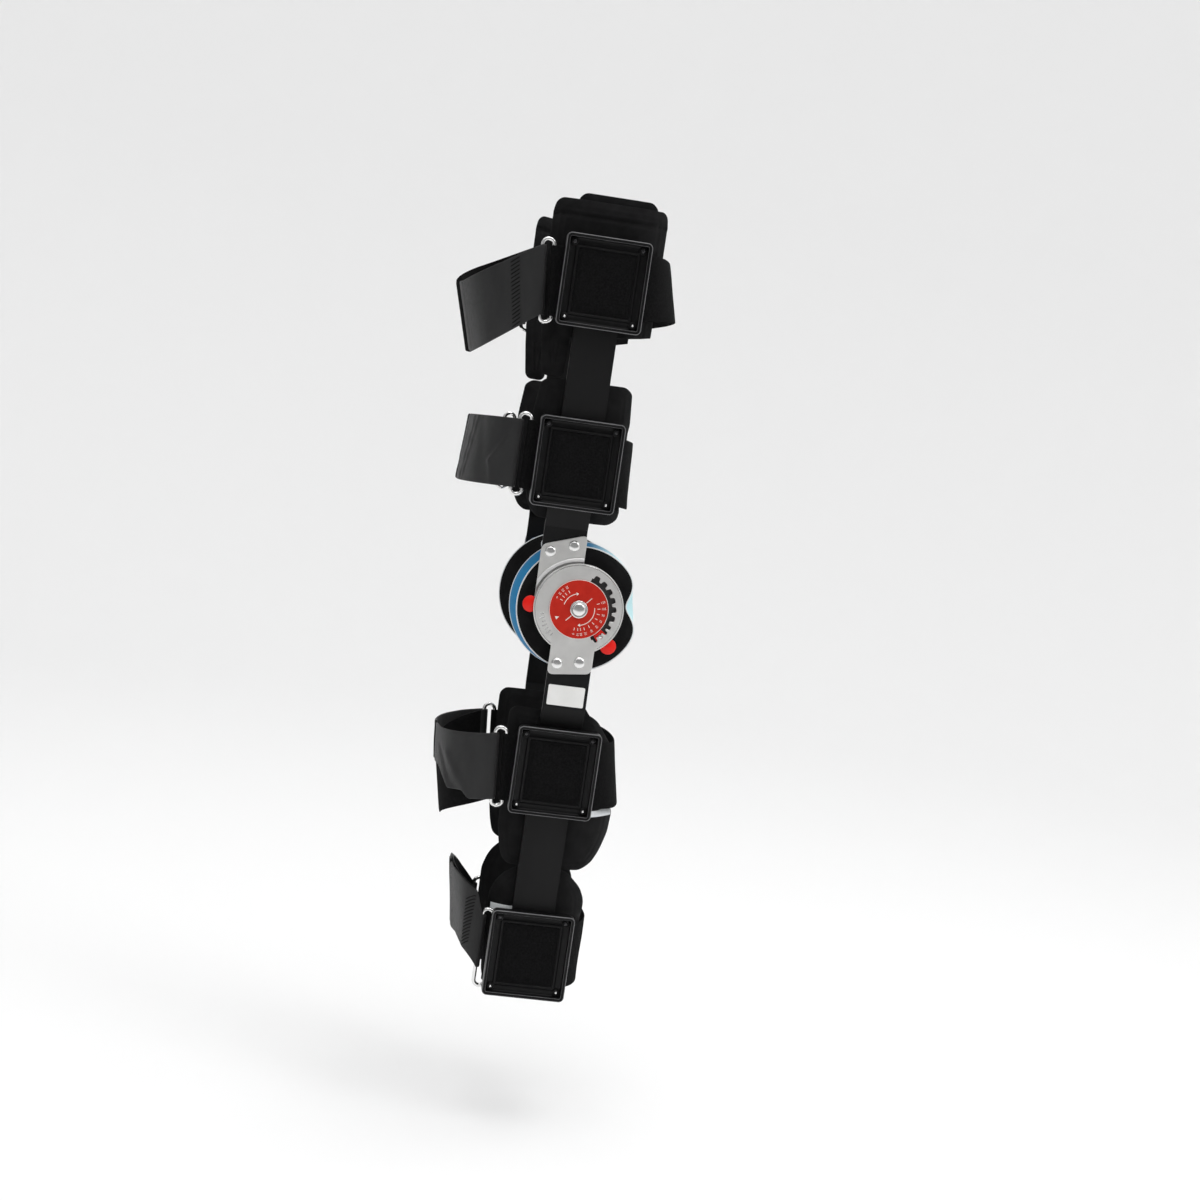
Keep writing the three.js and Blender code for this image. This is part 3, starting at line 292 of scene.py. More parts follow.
class Finish:
    """A Principled material and short ways to add texture to it."""

    def __init__(self, name, colour, roughness, **inputs):
        self.material = bpy.data.materials.new(name)
        self.material.use_nodes = True
        self.nodes = self.material.node_tree.nodes
        self.links = self.material.node_tree.links
        self.shader = self.nodes["Principled BSDF"]
        self.set("Base Color", (*colour, 1))
        self.set("Roughness", roughness)
        for key, value in inputs.items():
            self.set(key.replace("_", " ").title().replace("Ior", "IOR"), value)

    def set(self, socket, value):
        self.shader.inputs[socket].default_value = value

    def node(self, kind, **values):
        made = self.nodes.new(kind)
        for key, value in values.items():
            if key in made.inputs:
                made.inputs[key].default_value = value
            else:
                setattr(made, key, value)
        return made

    def place(self, attribute=None):
        """Where a texture is looked up: on the object, or by a stored attribute in millimetres."""
        if attribute:
            return self.node("ShaderNodeAttribute", attribute_name=attribute).outputs["Vector"]
        return self.node("ShaderNodeTexCoord").outputs["Object"]

    def noise(self, scale, detail=3, attribute=None, stretch=None):
        where = self.place(attribute)
        if stretch:
            mapping = self.node("ShaderNodeMapping", Scale=stretch)
            self.links.new(where, mapping.inputs["Vector"])
            where = mapping.outputs["Vector"]
        made = self.node("ShaderNodeTexNoise", Scale=scale, Detail=detail)
        self.links.new(where, made.inputs["Vector"])
        return made.outputs["Fac"]

    def wave(self, scale, axis, attribute="weave", distortion=0.6):
        made = self.node("ShaderNodeTexWave", Scale=scale, Distortion=distortion, bands_direction=axis)
        self.links.new(self.place(attribute), made.inputs["Vector"])
        return made.outputs["Fac"]

    def join(self, first, second, operation="ADD"):
        made = self.node("ShaderNodeMath", operation=operation)
        self.links.new(first, made.inputs[0])
        self.links.new(second, made.inputs[1])
        return made.outputs[0]

    def bump(self, height, strength, distance_mm):
        made = self.node("ShaderNodeBump", Strength=strength, Distance=distance_mm * MM)
        self.links.new(height, made.inputs["Height"])
        old = self.shader.inputs["Normal"].links
        if old:
            self.links.new(old[0].from_socket, made.inputs["Normal"])
        self.links.new(made.outputs["Normal"], self.shader.inputs["Normal"])
        return self

    def ramp(self, factor, low, high, socket="Base Color", start=0.3, end=0.7):
        made = self.node("ShaderNodeValToRGB")
        made.color_ramp.elements[0].position = start
        made.color_ramp.elements[1].position = end
        made.color_ramp.elements[0].color = (*low, 1)
        made.color_ramp.elements[1].color = (*high, 1)
        self.links.new(factor, made.inputs["Fac"])
        self.links.new(made.outputs["Color"], self.shader.inputs[socket])
        return self

    def gloss(self, factor, low, high):
        """Roughness that varies over the surface."""
        made = self.node("ShaderNodeMapRange", **{"To Min": low, "To Max": high})
        self.links.new(factor, made.inputs["Value"])
        self.links.new(made.outputs["Result"], self.shader.inputs["Roughness"])
        return self

    def spread(self, axis, start, end):
        """A factor that goes from 0 to 1 between two places along an axis of the object, in metres."""
        parts = self.node("ShaderNodeSeparateXYZ")
        self.links.new(self.place(), parts.inputs[0])
        made = self.node("ShaderNodeMapRange", **{"From Min": start, "From Max": end})
        self.links.new(parts.outputs[axis], made.inputs["Value"])
        return made.outputs["Result"]


def moulded_black():
    finish = Finish("moulded_black", (0.006, 0.006, 0.0063), 0.3, specular_ior_level=0.14)
    finish.ramp(finish.noise(70, 3), (0.0052, 0.0052, 0.0055), (0.0068, 0.0068, 0.0071))
    finish.gloss(finish.noise(60), 0.26, 0.36)
    return finish.material


def moulded_edge():
    """A lighter finish on a moulded plate's rim edges, a painted highlight where light catches them."""
    finish = Finish("moulded_edge", (0.13, 0.13, 0.135), 0.3, specular_ior_level=0.5)
    finish.ramp(finish.noise(60, 3), (0.1, 0.1, 0.105), (0.17, 0.17, 0.175))
    return finish.material


def bar_black():
    finish = Finish("bar_black", (0.008, 0.008, 0.0084), 0.46, specular_ior_level=0.16)
    finish.ramp(finish.noise(28, 4, stretch=(1, 1, 0.2)), (0.0068, 0.0068, 0.0071), (0.0094, 0.0094, 0.0097))
    finish.gloss(finish.noise(400, 3, stretch=(1, 1, 0.05)), 0.4, 0.55)
    finish.bump(finish.noise(900, 3, stretch=(1, 1, 0.04)), 0.2, 0.1)
    return finish.material


def pad_cloth():
    finish = Finish("pad_cloth", (0.0055, 0.0055, 0.0058), 0.92, specular_ior_level=0.1, sheen_weight=0.03,
                    sheen_roughness=0.5)
    finish.ramp(finish.noise(90, 5), (0.0062, 0.0062, 0.0065), (0.0112, 0.0112, 0.0116))
    knit = finish.join(finish.wave(0.72, "X"), finish.wave(0.72, "Y"), "MULTIPLY")
    finish.bump(knit, 0.5, 0.35)
    finish.bump(finish.noise(140, 3), 0.25, 0.8)
    return finish.material


def loop_cloth():
    finish = Finish("loop_cloth", (0.0035, 0.0035, 0.0037), 0.97, specular_ior_level=0.06)
    finish.ramp(finish.noise(700, 4), (0.0042, 0.0042, 0.0044), (0.0094, 0.0094, 0.0097))
    finish.bump(finish.noise(1500, 4), 0.7, 0.5)
    finish.bump(finish.wave(0.42, "Y", distortion=2.2), 0.35, 0.35)
    return finish.material


def satin_webbing():
    finish = Finish("satin_webbing", (0.019, 0.019, 0.0195), 0.5, specular_ior_level=0.3, sheen_weight=0.04,
                    sheen_roughness=0.4)
    finish.ramp(finish.noise(0.05, 5, attribute="weave", stretch=(1, 0.3, 1)),
                (0.011, 0.011, 0.0115), (0.023, 0.023, 0.0235))
    warp, weft = finish.wave(1.1, "X", distortion=0.2), finish.wave(0.5, "Y", distortion=0.3)
    finish.bump(finish.join(warp, weft, "MULTIPLY"), 0.45, 0.2)
    finish.gloss(finish.noise(0.3, 3, attribute="weave"), 0.42, 0.6)
    return finish.material


def thread():
    finish = Finish("thread", (0.003, 0.003, 0.0032), 0.8, specular_ior_level=0.1)
    finish.bump(finish.noise(4000, 2), 0.4, 0.1)
    return finish.material


def satin_steel():
    finish = Finish("satin_steel", (0.8, 0.795, 0.78), 0.34, metallic=1)
    finish.ramp(finish.noise(55, 5), (0.75, 0.745, 0.73), (0.87, 0.865, 0.85))
    finish.gloss(finish.noise(320, 4), 0.26, 0.46)
    finish.bump(finish.noise(1900, 3), 0.12, 0.08)
    return finish.material


# Steel with a paler base colour than the plate's satin steel, a painted highlight on the pressed step's ridge
def pressed_step():
    finish = Finish("pressed_step", (0.96, 0.955, 0.95), 0.5, metallic=1)
    finish.gloss(finish.noise(300, 3), 0.42, 0.56)
    return finish.material


def bright_steel():
    finish = Finish("bright_steel", (0.78, 0.78, 0.775), 0.14, metallic=1)
    finish.gloss(finish.noise(300, 3), 0.08, 0.22)
    return finish.material


def screw_black():
    finish = Finish("screw_black", (0.035, 0.035, 0.037), 0.24, metallic=0.6)
    finish.gloss(finish.noise(700), 0.18, 0.34)
    return finish.material


def dark_line():
    finish = Finish("dark_line", (0.03, 0.03, 0.03), 0.6)
    finish.gloss(finish.noise(500), 0.5, 0.7)
    return finish.material


def dial_red():
    finish = Finish("dial_red", (0.5, 0.018, 0.008), 0.45, specular_ior_level=0.2)
    finish.ramp(finish.noise(120, 4), (0.46, 0.015, 0.0065), (0.54, 0.021, 0.0095))
    finish.bump(finish.noise(1400, 2), 0.12, 0.06)
    return finish.material


def dial_white():
    finish = Finish("dial_white", (0.85, 0.78, 0.74), 0.5)
    finish.ramp(finish.noise(900, 3), (0.74, 0.66, 0.62), (0.92, 0.86, 0.82))
    return finish.material


def stop_red():
    finish = Finish("stop_red", (0.8, 0.011, 0.005), 0.33, specular_ior_level=0.3)
    finish.gloss(finish.noise(300, 3), 0.24, 0.4)
    finish.bump(finish.noise(1800, 2), 0.1, 0.08)
    return finish.material


def gusset_blue():
    """Blue cloth, paler towards the front."""
    finish = Finish("gusset_blue", (0.012, 0.21, 0.44), 0.85, specular_ior_level=0.2, sheen_weight=0.25,
                    sheen_roughness=0.4)
    finish.ramp(finish.spread("Y", 0.0, 0.03), (0.011, 0.2, 0.43), (0.5, 0.76, 0.8), start=0.1, end=0.9)
    finish.bump(finish.noise(1300, 3), 0.5, 0.3)
    return finish.material


def white_piping():
    finish = Finish("white_piping", (0.75, 0.8, 0.82), 0.8, sheen_weight=0.2)
    finish.ramp(finish.noise(900, 3), (0.76, 0.8, 0.82), (0.9, 0.92, 0.93))
    finish.bump(finish.noise(2200, 2), 0.4, 0.15)
    return finish.material


def label_paper():
    finish = Finish("label_paper", (0.84, 0.84, 0.82), 0.55)
    finish.ramp(finish.noise(60, 4), (0.8, 0.8, 0.78), (0.88, 0.88, 0.865))
    finish.bump(finish.noise(700, 3), 0.1, 0.1)
    return finish.material


def studio_paper():
    """Pale paper, darker on the walls beside the outer side and behind, for shiny pieces to mirror."""
    finish = Finish("studio_paper", (0.88, 0.88, 0.88), 0.75, specular_ior_level=0.1,
                    emission_color=(1, 1, 1, 1), emission_strength=0.06)
    either = finish.join(finish.spread("X", 1.5, 3.0), finish.spread("Y", -1.6, -3.0), "MAXIMUM")
    finish.ramp(either, (0.9, 0.9, 0.9), (0.32, 0.32, 0.32), start=0, end=1)
    return finish.material


MAKERS = (moulded_black, moulded_edge, bar_black, pad_cloth, loop_cloth, satin_webbing, thread, satin_steel,
          pressed_step, bright_steel, screw_black, dark_line, dial_red, dial_white, stop_red, gusset_blue,
          white_piping, label_paper)
FINISHES = {make.__name__: make() for make in MAKERS}


# Meshes

class Shape:
    """Points, faces and finishes of one piece, gathered from several parts, in millimetres."""

    def __init__(self):
        self.points, self.faces, self.finish, self.weave = [], [], [], []

    def add(self, points, faces, finish, weave=None):
        start = len(self.points)
        points = np.asarray(points, float).reshape(-1, 3)
        self.points.extend(points)
        self.faces.extend(tuple(start + k for k in face) for face in faces)
        names = [finish] * len(faces) if isinstance(finish, str) else finish
        self.finish.extend(names)
        self.weave.extend(points if weave is None else np.asarray(weave, float).reshape(-1, 3))
        return self

    def piece(self, name, body, replaces=(), slot=None, side=1, smooth_deg=35):
        points = np.array(self.points) * MM
        points[:, 0] *= side
        mesh = bpy.data.meshes.new(name)
        mesh.from_pydata(points.tolist(), [], self.faces)
        used = list(dict.fromkeys(self.finish))
        for finish in used:
            mesh.materials.append(FINISHES[finish])
        mesh.polygons.foreach_set("material_index", [used.index(finish) for finish in self.finish])
        weave = mesh.attributes.new("weave", "FLOAT_VECTOR", "POINT")
        weave.data.foreach_set("vector", np.array(self.weave, np.float32).ravel())
        shell = bmesh.new()
        shell.from_mesh(mesh)
        bmesh.ops.recalc_face_normals(shell, faces=shell.faces)
        shell.to_mesh(mesh)
        shell.free()
        made = bpy.data.objects.new(name, mesh)
        bpy.context.scene.collection.objects.link(made)
        mesh.shade_smooth()
        mesh.set_sharp_from_angle(angle=math.radians(smooth_deg))
        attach(made, body)
        if replaces:
            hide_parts(*([replaces] if isinstance(replaces, str) else replaces))
        return made


def wall(outer, inner):
    """Points and faces of a closed wall between two grids of points."""
    rows, columns = outer.shape[:2]
    points = np.concatenate([outer.reshape(-1, 3), inner.reshape(-1, 3)])
    at = np.arange(rows * columns).reshape(rows, columns)
    under = at + rows * columns
    quads = []
    for grid in (at, under):
        corners = np.stack([grid[:-1, :-1], grid[1:, :-1], grid[1:, 1:], grid[:-1, 1:]], -1)
        quads.extend(map(tuple, corners.reshape(-1, 4).tolist()))
    border = np.concatenate([at[0, :-1], at[:-1, -1], at[-1, :0:-1], at[:0:-1, 0]])
    below = np.concatenate([under[0, :-1], under[:-1, -1], under[-1, :0:-1], under[:0:-1, 0]])
    for k in range(len(border)):
        n = (k + 1) % len(border)
        quads.append((int(border[k]), int(border[n]), int(below[n]), int(below[k])))
    return points, quads


def loft(loops, closed=False, caps=True):
    """Points and faces of a skin through closed loops."""
    count, sides = loops.shape[:2]
    faces = []
    for i in range(count if closed else count - 1):
        here, ahead = i * sides, ((i + 1) % count) * sides
        for j in range(sides):
            k = (j + 1) % sides
            faces.append((here + j, here + k, ahead + k, ahead + j))
    if caps and not closed:
        faces.append(tuple(reversed(range(sides))))
        faces.append(tuple(range((count - 1) * sides, count * sides)))
    return loops.reshape(-1, 3), faces


def tube(path, radius, sides, closed=False):
    """Points and faces of a round wire along a path."""
    path = np.asarray(path, float)
    if closed:
        tangents = np.roll(path, -1, 0) - np.roll(path, 1, 0)
    else:
        tangents = np.gradient(path, axis=0)
    tangents /= np.linalg.norm(tangents, axis=1, keepdims=True)
    up = np.array([1.0, 0, 0]) if abs(tangents[0][0]) < 0.8 else np.array([0, 0, 1.0])
    loops = []
    for point, tangent in zip(path, tangents):
        across = np.cross(tangent, up)
        across /= np.linalg.norm(across)
        up = np.cross(across, tangent)
        angle = np.linspace(0, 2 * np.pi, sides, endpoint=False)[:, None]
        loops.append(point + radius * (np.cos(angle) * across + np.sin(angle) * up))
    return loft(np.array(loops), closed)


def polar(r, degrees):
    angle = np.radians(degrees)
    return np.stack([r * np.cos(angle), r * np.sin(angle)], -1)


def arc(r, start, end, step=2.5):
    count = max(2, int(abs(end - start) / step) + 1)
    return polar(r, np.linspace(start, end, count))


def turned(points, counter_clockwise):
    """A closed outline, turned the way asked for."""
    points = np.asarray(points, float)
    ahead = np.roll(points, -1, 0)
    area = np.sum(points[:, 0] * ahead[:, 1] - ahead[:, 0] * points[:, 1])
    return points if (area > 0) == counter_clockwise else points[::-1]


def inset(outline, distance):
    """An outline moved into the material on its left."""
    before, ahead = np.roll(outline, 1, 0), np.roll(outline, -1, 0)
    along = [(outline - before), (ahead - outline)]
    normals = [np.stack([-d[:, 1], d[:, 0]], 1) / np.linalg.norm(d, axis=1, keepdims=True) for d in along]
    middle = normals[0] + normals[1]
    middle /= np.maximum(np.sum(middle * normals[0], 1, keepdims=True), MITRE_LIMIT)
    return outline + distance * middle


def encloses(outline, point):
    """Whether a point lies inside a closed outline."""
    ahead = np.roll(outline, -1, 0)
    crosses = (outline[:, 1] > point[1]) != (ahead[:, 1] > point[1])
    rise = np.where(crosses, ahead[:, 1] - outline[:, 1], 1)
    where = outline[:, 0] + (point[1] - outline[:, 1]) / rise * (ahead[:, 0] - outline[:, 0])
    return np.count_nonzero(crosses & (where > point[0])) % 2 == 1


def sheet_metal(outer, holes, x0, x1, edge=SHEET_EDGE):
    """Points and faces of a flat sheet across X with softened edges, from outlines in Y and Z."""
    outlines = [turned(outer, True)] + [turned(hole, False) for hole in holes]
    points, faces = [], []
    flat, edges, cap_index = [], [], []
    for outline in outlines:
        small = inset(outline, edge)
        levels = [(small, x0), (outline, x0 + edge), (outline, x1 - edge), (small, x1)]
        start, count = len(points), len(outline)
        for ring, x in levels:
            points.extend(np.column_stack([np.full(count, x), ring]))
        for level in range(len(levels) - 1):
            for j in range(count):
                k = (j + 1) % count
                a, b = start + level * count, start + (level + 1) * count
                faces.append((a + j, a + k, b + k, b + j))
        first = len(flat)
        flat.extend(Vector(p) for p in small)
        edges.extend((first + j, first + (j + 1) % count) for j in range(count))
        cap_index.extend((start + j, start + 3 * count + j) for j in range(count))
    corners, _, triangles, sources, _, _ = delaunay_2d_cdt(flat, edges, [], 1, POINT_GAP)
    for triangle in triangles:
        middle = sum((np.array(corners[k]) for k in triangle), np.zeros(2)) / 3
        if any(encloses(hole, middle) for hole in outlines[1:]):
            continue
        back = [cap_index[sources[k][0]][0] for k in triangle]
        front = [cap_index[sources[k][0]][1] for k in triangle]
        faces.append(tuple(reversed(back)))
        faces.append(tuple(front))
    return np.array(points), faces


def spun(profile, y=0, z=0, segments=64):
    """Points and faces of a solid turned about an axis along X, from rows of x and radius."""
    angle = np.linspace(0, 2 * np.pi, segments, endpoint=False)
    loops = []
    for x, r in profile:
        r = max(r, TIP_R)
        loops.append(np.column_stack([np.full(segments, x), y + r * np.cos(angle), z + r * np.sin(angle)]))
    return loft(np.array(loops))


def ring_sector(inner, outer, start, end, step=2.5):
    return np.concatenate([arc(outer, start, end, step), arc(inner, end, start, step)])


def rounded(corners, radius, steps=6):
    """An outline through corners, each cut back by a radius."""
    corners = np.asarray(corners, float)
    points = []
    for k, corner in enumerate(corners):
        ends = []
        for other in (corners[k - 1], corners[(k + 1) % len(corners)]):
            away = other - corner
            ends.append(corner + away / np.linalg.norm(away) * radius)
        for t in np.linspace(0, 1, steps):
            points.append((1 - t) ** 2 * ends[0] + 2 * t * (1 - t) * corner + t * t * ends[1])
    return np.array(points)


def on_bar(bar, u, v, w):
    """A point u out from a bar's inner face, v forwards of its middle and w along it from its bend."""
    u, v, w = np.broadcast_arrays(*[np.asarray(n, float) for n in (u, v, w)])
    cos, sin = math.cos(bar["flare"]), math.sin(bar["flare"])
    return np.stack([bar["x"] + u * cos + w * sin, bar["y"] + v, bar["z"] - u * sin + w * cos], -1)


def bar_of(cuff):
    return UPPER_BAR if cuff["z"] > 0 else LOWER_BAR


def body_of(cuff):
    return "upper" if cuff["z"] > 0 else "lower"


def along(bar, z):
    return (np.asarray(z, float) - bar["z"]) / math.cos(bar["flare"])


def smooth_step(t):
    t = np.clip(t, 0, 1)
    return t * t * (3 - 2 * t)


def wrinkle(points, scale, seed):
    """A smooth random height for each point, from -1 to 1."""
    flat = np.asarray(points, float).reshape(-1, 3) / scale
    shift = Vector([seed * share for share in SEED_SHIFT])
    heights = [noise.noise(Vector(p) + shift) for p in flat]
    return np.array(heights).reshape(np.asarray(points).shape[:-1])


def seed_of(cuff_name, kind):
    return list(CUFFS).index(cuff_name) + SEEDS[kind]


# Camera, light and floor

def make_camera():
    data = bpy.data.cameras.new("camera")
    data.sensor_width = SENSOR_MM
    data.lens = FOCAL_PIXELS / PHOTO_WIDTH * SENSOR_MM
    data.clip_start = CLIP_START
    camera = bpy.data.objects.new("camera", data)
    right = Vector(CAMERA_RIGHT).normalized()
    up = -Vector(CAMERA_DOWN).normalized()
    back = right.cross(up)
    up = back.cross(right)
    turn = Matrix((right, up, back)).transposed().to_4x4()
    camera.matrix_world = Matrix.Translation(Vector(CAMERA_PLACE) * MM) @ turn
    bpy.context.scene.collection.objects.link(camera)
    bpy.context.scene.camera = camera


def add_light(name, place, size, power):
    """A soft rectangular light that faces the middle of the brace."""
    data = bpy.data.lights.new(name, "AREA")
    data.shape = "RECTANGLE"
    data.size, data.size_y = size
    data.energy = power
    light = bpy.data.objects.new(name, data)
    light.location = place
    light.rotation_euler = Vector(place).to_track_quat("Z", "Y").to_euler()
    bpy.context.scene.collection.objects.link(light)


def make_stage():
    bpy.context.scene.view_settings.view_transform = "Standard"
    world = bpy.data.worlds.new("studio")
    bpy.context.scene.world = world
    world.use_nodes = True
    sky = world.node_tree.nodes["Background"]
    sky.inputs["Color"].default_value = (1, 1, 1, 1)
    sky.inputs["Strength"].default_value = 1.0
    for name, light in LIGHTS.items():
        add_light(name, **light)
    profile = [(FLOOR_Z, r) for r in (*BOWL["rings"], BOWL["floor_r"])]
    for degrees in range(BOWL["step_deg"], 91, BOWL["step_deg"]):
        turn = math.radians(degrees)
        rise, out = 1 - math.cos(turn), math.sin(turn)
        profile.append((FLOOR_Z + BOWL["curve_r"] * rise, BOWL["floor_r"] + BOWL["curve_r"] * out))
    profile.append((FLOOR_Z + BOWL["height"], BOWL["floor_r"] + BOWL["curve_r"]))
    angle = np.linspace(2 * np.pi, 0, BOWL["segments"], endpoint=False)
    round_way = np.column_stack([np.cos(angle), np.sin(angle), 0 * angle])
    loops = [r * round_way + np.array([0, 0, z]) for z, r in profile]
    points, faces = loft(np.array(loops), caps=False)
    mesh = bpy.data.meshes.new("floor")
    mesh.from_pydata((points * MM).tolist(), [], faces)
    mesh.shade_smooth()
    mesh.materials.append(studio_paper())
    made = bpy.data.objects.new("floor", mesh)
    bpy.context.scene.collection.objects.link(made)


# Hard pieces

def dress_node(name, finish, bevel_mm):
    """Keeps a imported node, with soft edges and a finish."""
    node = NODES[name]
    node.data.materials.clear()
    node.data.materials.append(FINISHES[finish])
    weld = node.modifiers.new("weld", "WELD")
    weld.merge_threshold = DRESS["weld"]
    bevel = node.modifiers.new("bevel", "BEVEL")
    bevel.width = bevel_mm * MM
    bevel.segments = DRESS["segments"]
    bevel.limit_method = "ANGLE"
    bevel.angle_limit = DRESS["angle"]
    bevel.harden_normals = True


def rear_outline():
    heel = (-REAR["r"], 0)
    corners = [(0, REAR["r"]), (0, UPPER_TAB["top_front"]), (-REAR["r"], UPPER_TAB["top_back"]), heel]
    tab = rounded(corners, TAB_CORNER)
    steps = len(tab) // len(corners)
    return np.concatenate([[corners[0]], tab[steps:3 * steps], arc(REAR["r"], 180, 450)[:-1]])


def tab_outline():
    """The upper tab above its pressed step."""
    front, back = [math.degrees(math.acos(STEPPED_TAB[end] / STEP["outer"])) for end in ("front_y", "back_y")]
    outline = rear_outline()
    far = np.linalg.norm(outline, axis=1) > STEP["outer"] + STEPPED_TAB["clear"]
    return np.concatenate([outline[far & (outline[:, 1] > 0)], arc(STEP["outer"], back, front)])


def step_ridge():
    """The rounded step pressed into the upper tab, along the edge of the round plate."""
    start = math.degrees(math.acos(STEP["front_y"] / STEP["inner"]))
    middle = (STEP["inner"] + STEP["outer"]) / 2
    half = (STEP["outer"] - STEP["inner"]) / 2 - STEP["line"]
    foot = STEP["groove_x"] - SUNK
    loops = []
    for share in np.linspace(0, 1, STEPS["ridge_along"]):
        profile = []
        for turn in np.linspace(0, math.pi, STEPS["ridge_across"]):
            r = middle - half * math.cos(turn)
            x = foot + (STEP["top_x"] - foot) * math.sin(turn) ** STEP["power"]
            end = math.degrees(math.acos(STEP["back_y"] / r))
            y, z = polar(r, start + (end - start) * share)
            profile.append((x, y, z))
        loops.append(profile)
    return loft(np.array(loops))


def front_outline():
    y0 = LOWER_BAR["y"]
    back, front = y0 - LOWER_TAB["half"], y0 + LOWER_TAB["half"]
    start = -math.degrees(math.acos(front / FRONT["r"]))
    end = 360 - math.degrees(math.acos(back / FRONT["r"]))
    neck_front, neck_back = polar(FRONT["r"], start), polar(FRONT["r"], end)
    corners = [neck_back, (back, LOWER_TAB["bottom_back"]), (front, LOWER_TAB["bottom_front"]), neck_front]
    tab = rounded(corners, TAB_CORNER)
    steps = len(tab) // len(corners)
    return np.concatenate([arc(FRONT["r"], start, end), tab[steps:3 * steps]])


def window_outline():
    """The curved window, with a rounded notch for each setting; each notch has its pitch in degrees."""
    outer = [polar(WINDOW["tooth"], WINDOW["from"])]
    for middle, pitch in NOTCHES:
        for share in np.linspace(-1, 1, STEPS["notch"]):
            depth = (WINDOW["notch"] - WINDOW["tooth"]) * math.sqrt(1 - share**4)
            outer.append(polar(WINDOW["tooth"] + depth, middle + share * pitch * WINDOW["half"]))
    outer.append(polar(WINDOW["tooth"], WINDOW["to"]))
    return np.concatenate([arc(WINDOW["inner"], WINDOW["to"], WINDOW["from"]), outer])


def round_hole(r, y=0, z=0):
    return arc(r, 0, 350, step=10) + np.array([y, z])


def rivet_profile(bottom, seat):
    """Rows of x and radius of a domed tab rivet."""
    head_r, shaft_r = RIVET["head_r"], RIVET["shaft_r"]
    brim = seat + RIVET["lip"]
    rows = [(bottom, 0), (bottom, shaft_r), (seat, shaft_r), (seat, head_r), (brim, head_r + RIVET["swell"])]
    for degrees in RIVET["dome_deg"]:
        turn = math.radians(degrees)
        rise = (RIVET["rise"] - RIVET["lip"]) * math.sin(turn)
        rows.append((brim + rise, head_r * math.cos(turn) ** RIVET["power"]))
    rows.append((seat + RIVET["rise"], 0))
    return rows


def pivot_profile():
    """Rows of x and radius of the pivot rivet: a shaft, a rim and a dome."""
    seat = DIAL["x1"] + GAP
    rows = [(REAR["x0"], 0), (REAR["x0"], PIVOT["shaft_r"]), (seat, PIVOT["shaft_r"])]
    rows += [(seat + height, r) for height, r in PIVOT_RIM]
    dome = seat + PIVOT["dome_from"]
    for degrees in PIVOT["dome_deg"]:
        turn = math.radians(degrees)
        r = PIVOT["dome_r"] * math.cos(turn) ** PIVOT["power"]
        rows.append((dome + PIVOT["dome_rise"] * math.sin(turn), r))
    rows.append((dome + PIVOT["dome_rise"], 0))
    return rows


def tab_rivets():
    """Points and faces of the tab rivets, by name."""
    tabs = {"upper": (UPPER_RIVETS, UPPER_BAR_IN, REAR), "lower": (LOWER_RIVETS, LOWER_BAR_IN, FRONT)}
    rivets = {}
    for tab, (places, bottom, plate) in tabs.items():
        profile = rivet_profile(bottom, plate["x1"] + GAP / 2)
        for name, (y, z) in places.items():
            rivets[f"{tab}_rivet_{name}"] = spun(profile, y, z, segments=48)
    return rivets


def add_rim_relief(front):
    """The raised line along the front plate's rim, and plain raised strokes beside the dial."""
    foot, face = FRONT["x1"] - SUNK, FRONT["x1"]
    bead = ring_sector(RIM_BEAD["inner"], RIM_BEAD["outer"], RIM_BEAD["from"], RIM_BEAD["to"])
    front.add(*sheet_metal(bead, [], foot, face + RIM_BEAD["rise"], RIM_BEAD["edge"]), "bright_steel")
    half = RIM_STROKES["half"]
    for k, degrees in enumerate(range(RIM_STROKES["from"], RIM_STROKES["to"], RIM_STROKES["pitch"])):
        outer = RIM_STROKES["long" if k % 2 else "short"]
        stroke = ring_sector(RIM_STROKES["inner"], outer, degrees - half, degrees + half, half)
        solid = sheet_metal(stroke, [], foot, face + RIM_STROKES["rise"], RIM_STROKES["edge"])
        front.add(*solid, "bright_steel")


def make_hinge_plates(side_name):
    """Both plates of a hinge. On the inner side the rivets and a plain boss belong to them."""
    side = SIDES[side_name]
    lateral = side_name == "lateral"
    pivot_hole = round_hole(PIVOT["hole_r"])
    rear = Shape()
    holes = [round_hole(RIVET["hole_r"], *place) for place in UPPER_RIVETS.values()]
    rear.add(*sheet_metal(rear_outline(), [pivot_hole, *holes], REAR["x0"], STEP["groove_x"]), "satin_steel")
    rear.add(*sheet_metal(tab_outline(), holes, STEP["groove_x"] - SUNK, REAR["x1"]), "satin_steel")
    # The pressed step's ridge gets the paler steel, a painted highlight
    rear.add(*step_ridge(), "pressed_step")
    front = Shape()
    holes = [pivot_hole] + [round_hole(RIVET["hole_r"], *place) for place in LOWER_RIVETS.values()]
    if lateral:
        holes.append(window_outline())
    front.add(*sheet_metal(front_outline(), holes, FRONT["x0"], FRONT["x1"]), "satin_steel")
    add_rim_relief(front)
    for name, made in tab_rivets().items():
        body = name.split("_")[0]
        if lateral:
            Shape().add(*made, "bright_steel").piece(f"{name}_head", body, name, "chrome", smooth_deg=60)
        else:
            plate = rear if body == "upper" else front
            plate.add(*made, "bright_steel")
    if not lateral:
        back, face = REAR["x1"] + GAP, FRONT["x0"] - INNER_BOSS["clear"]
        boss = [(back, 0), (back, INNER_BOSS["r"]), (face, INNER_BOSS["r"]), (face, 0)]
        front.add(*spun(boss), "dark_line")
        front.add(*spun(pivot_profile()), "bright_steel")
    rear.piece(f"{side_name}_hinge_rear", "upper", f"hinge_rear_{side_name}", "steel", side)
    front.piece(f"{side_name}_hinge_front", "lower", f"hinge_front_{side_name}", "steel", side)


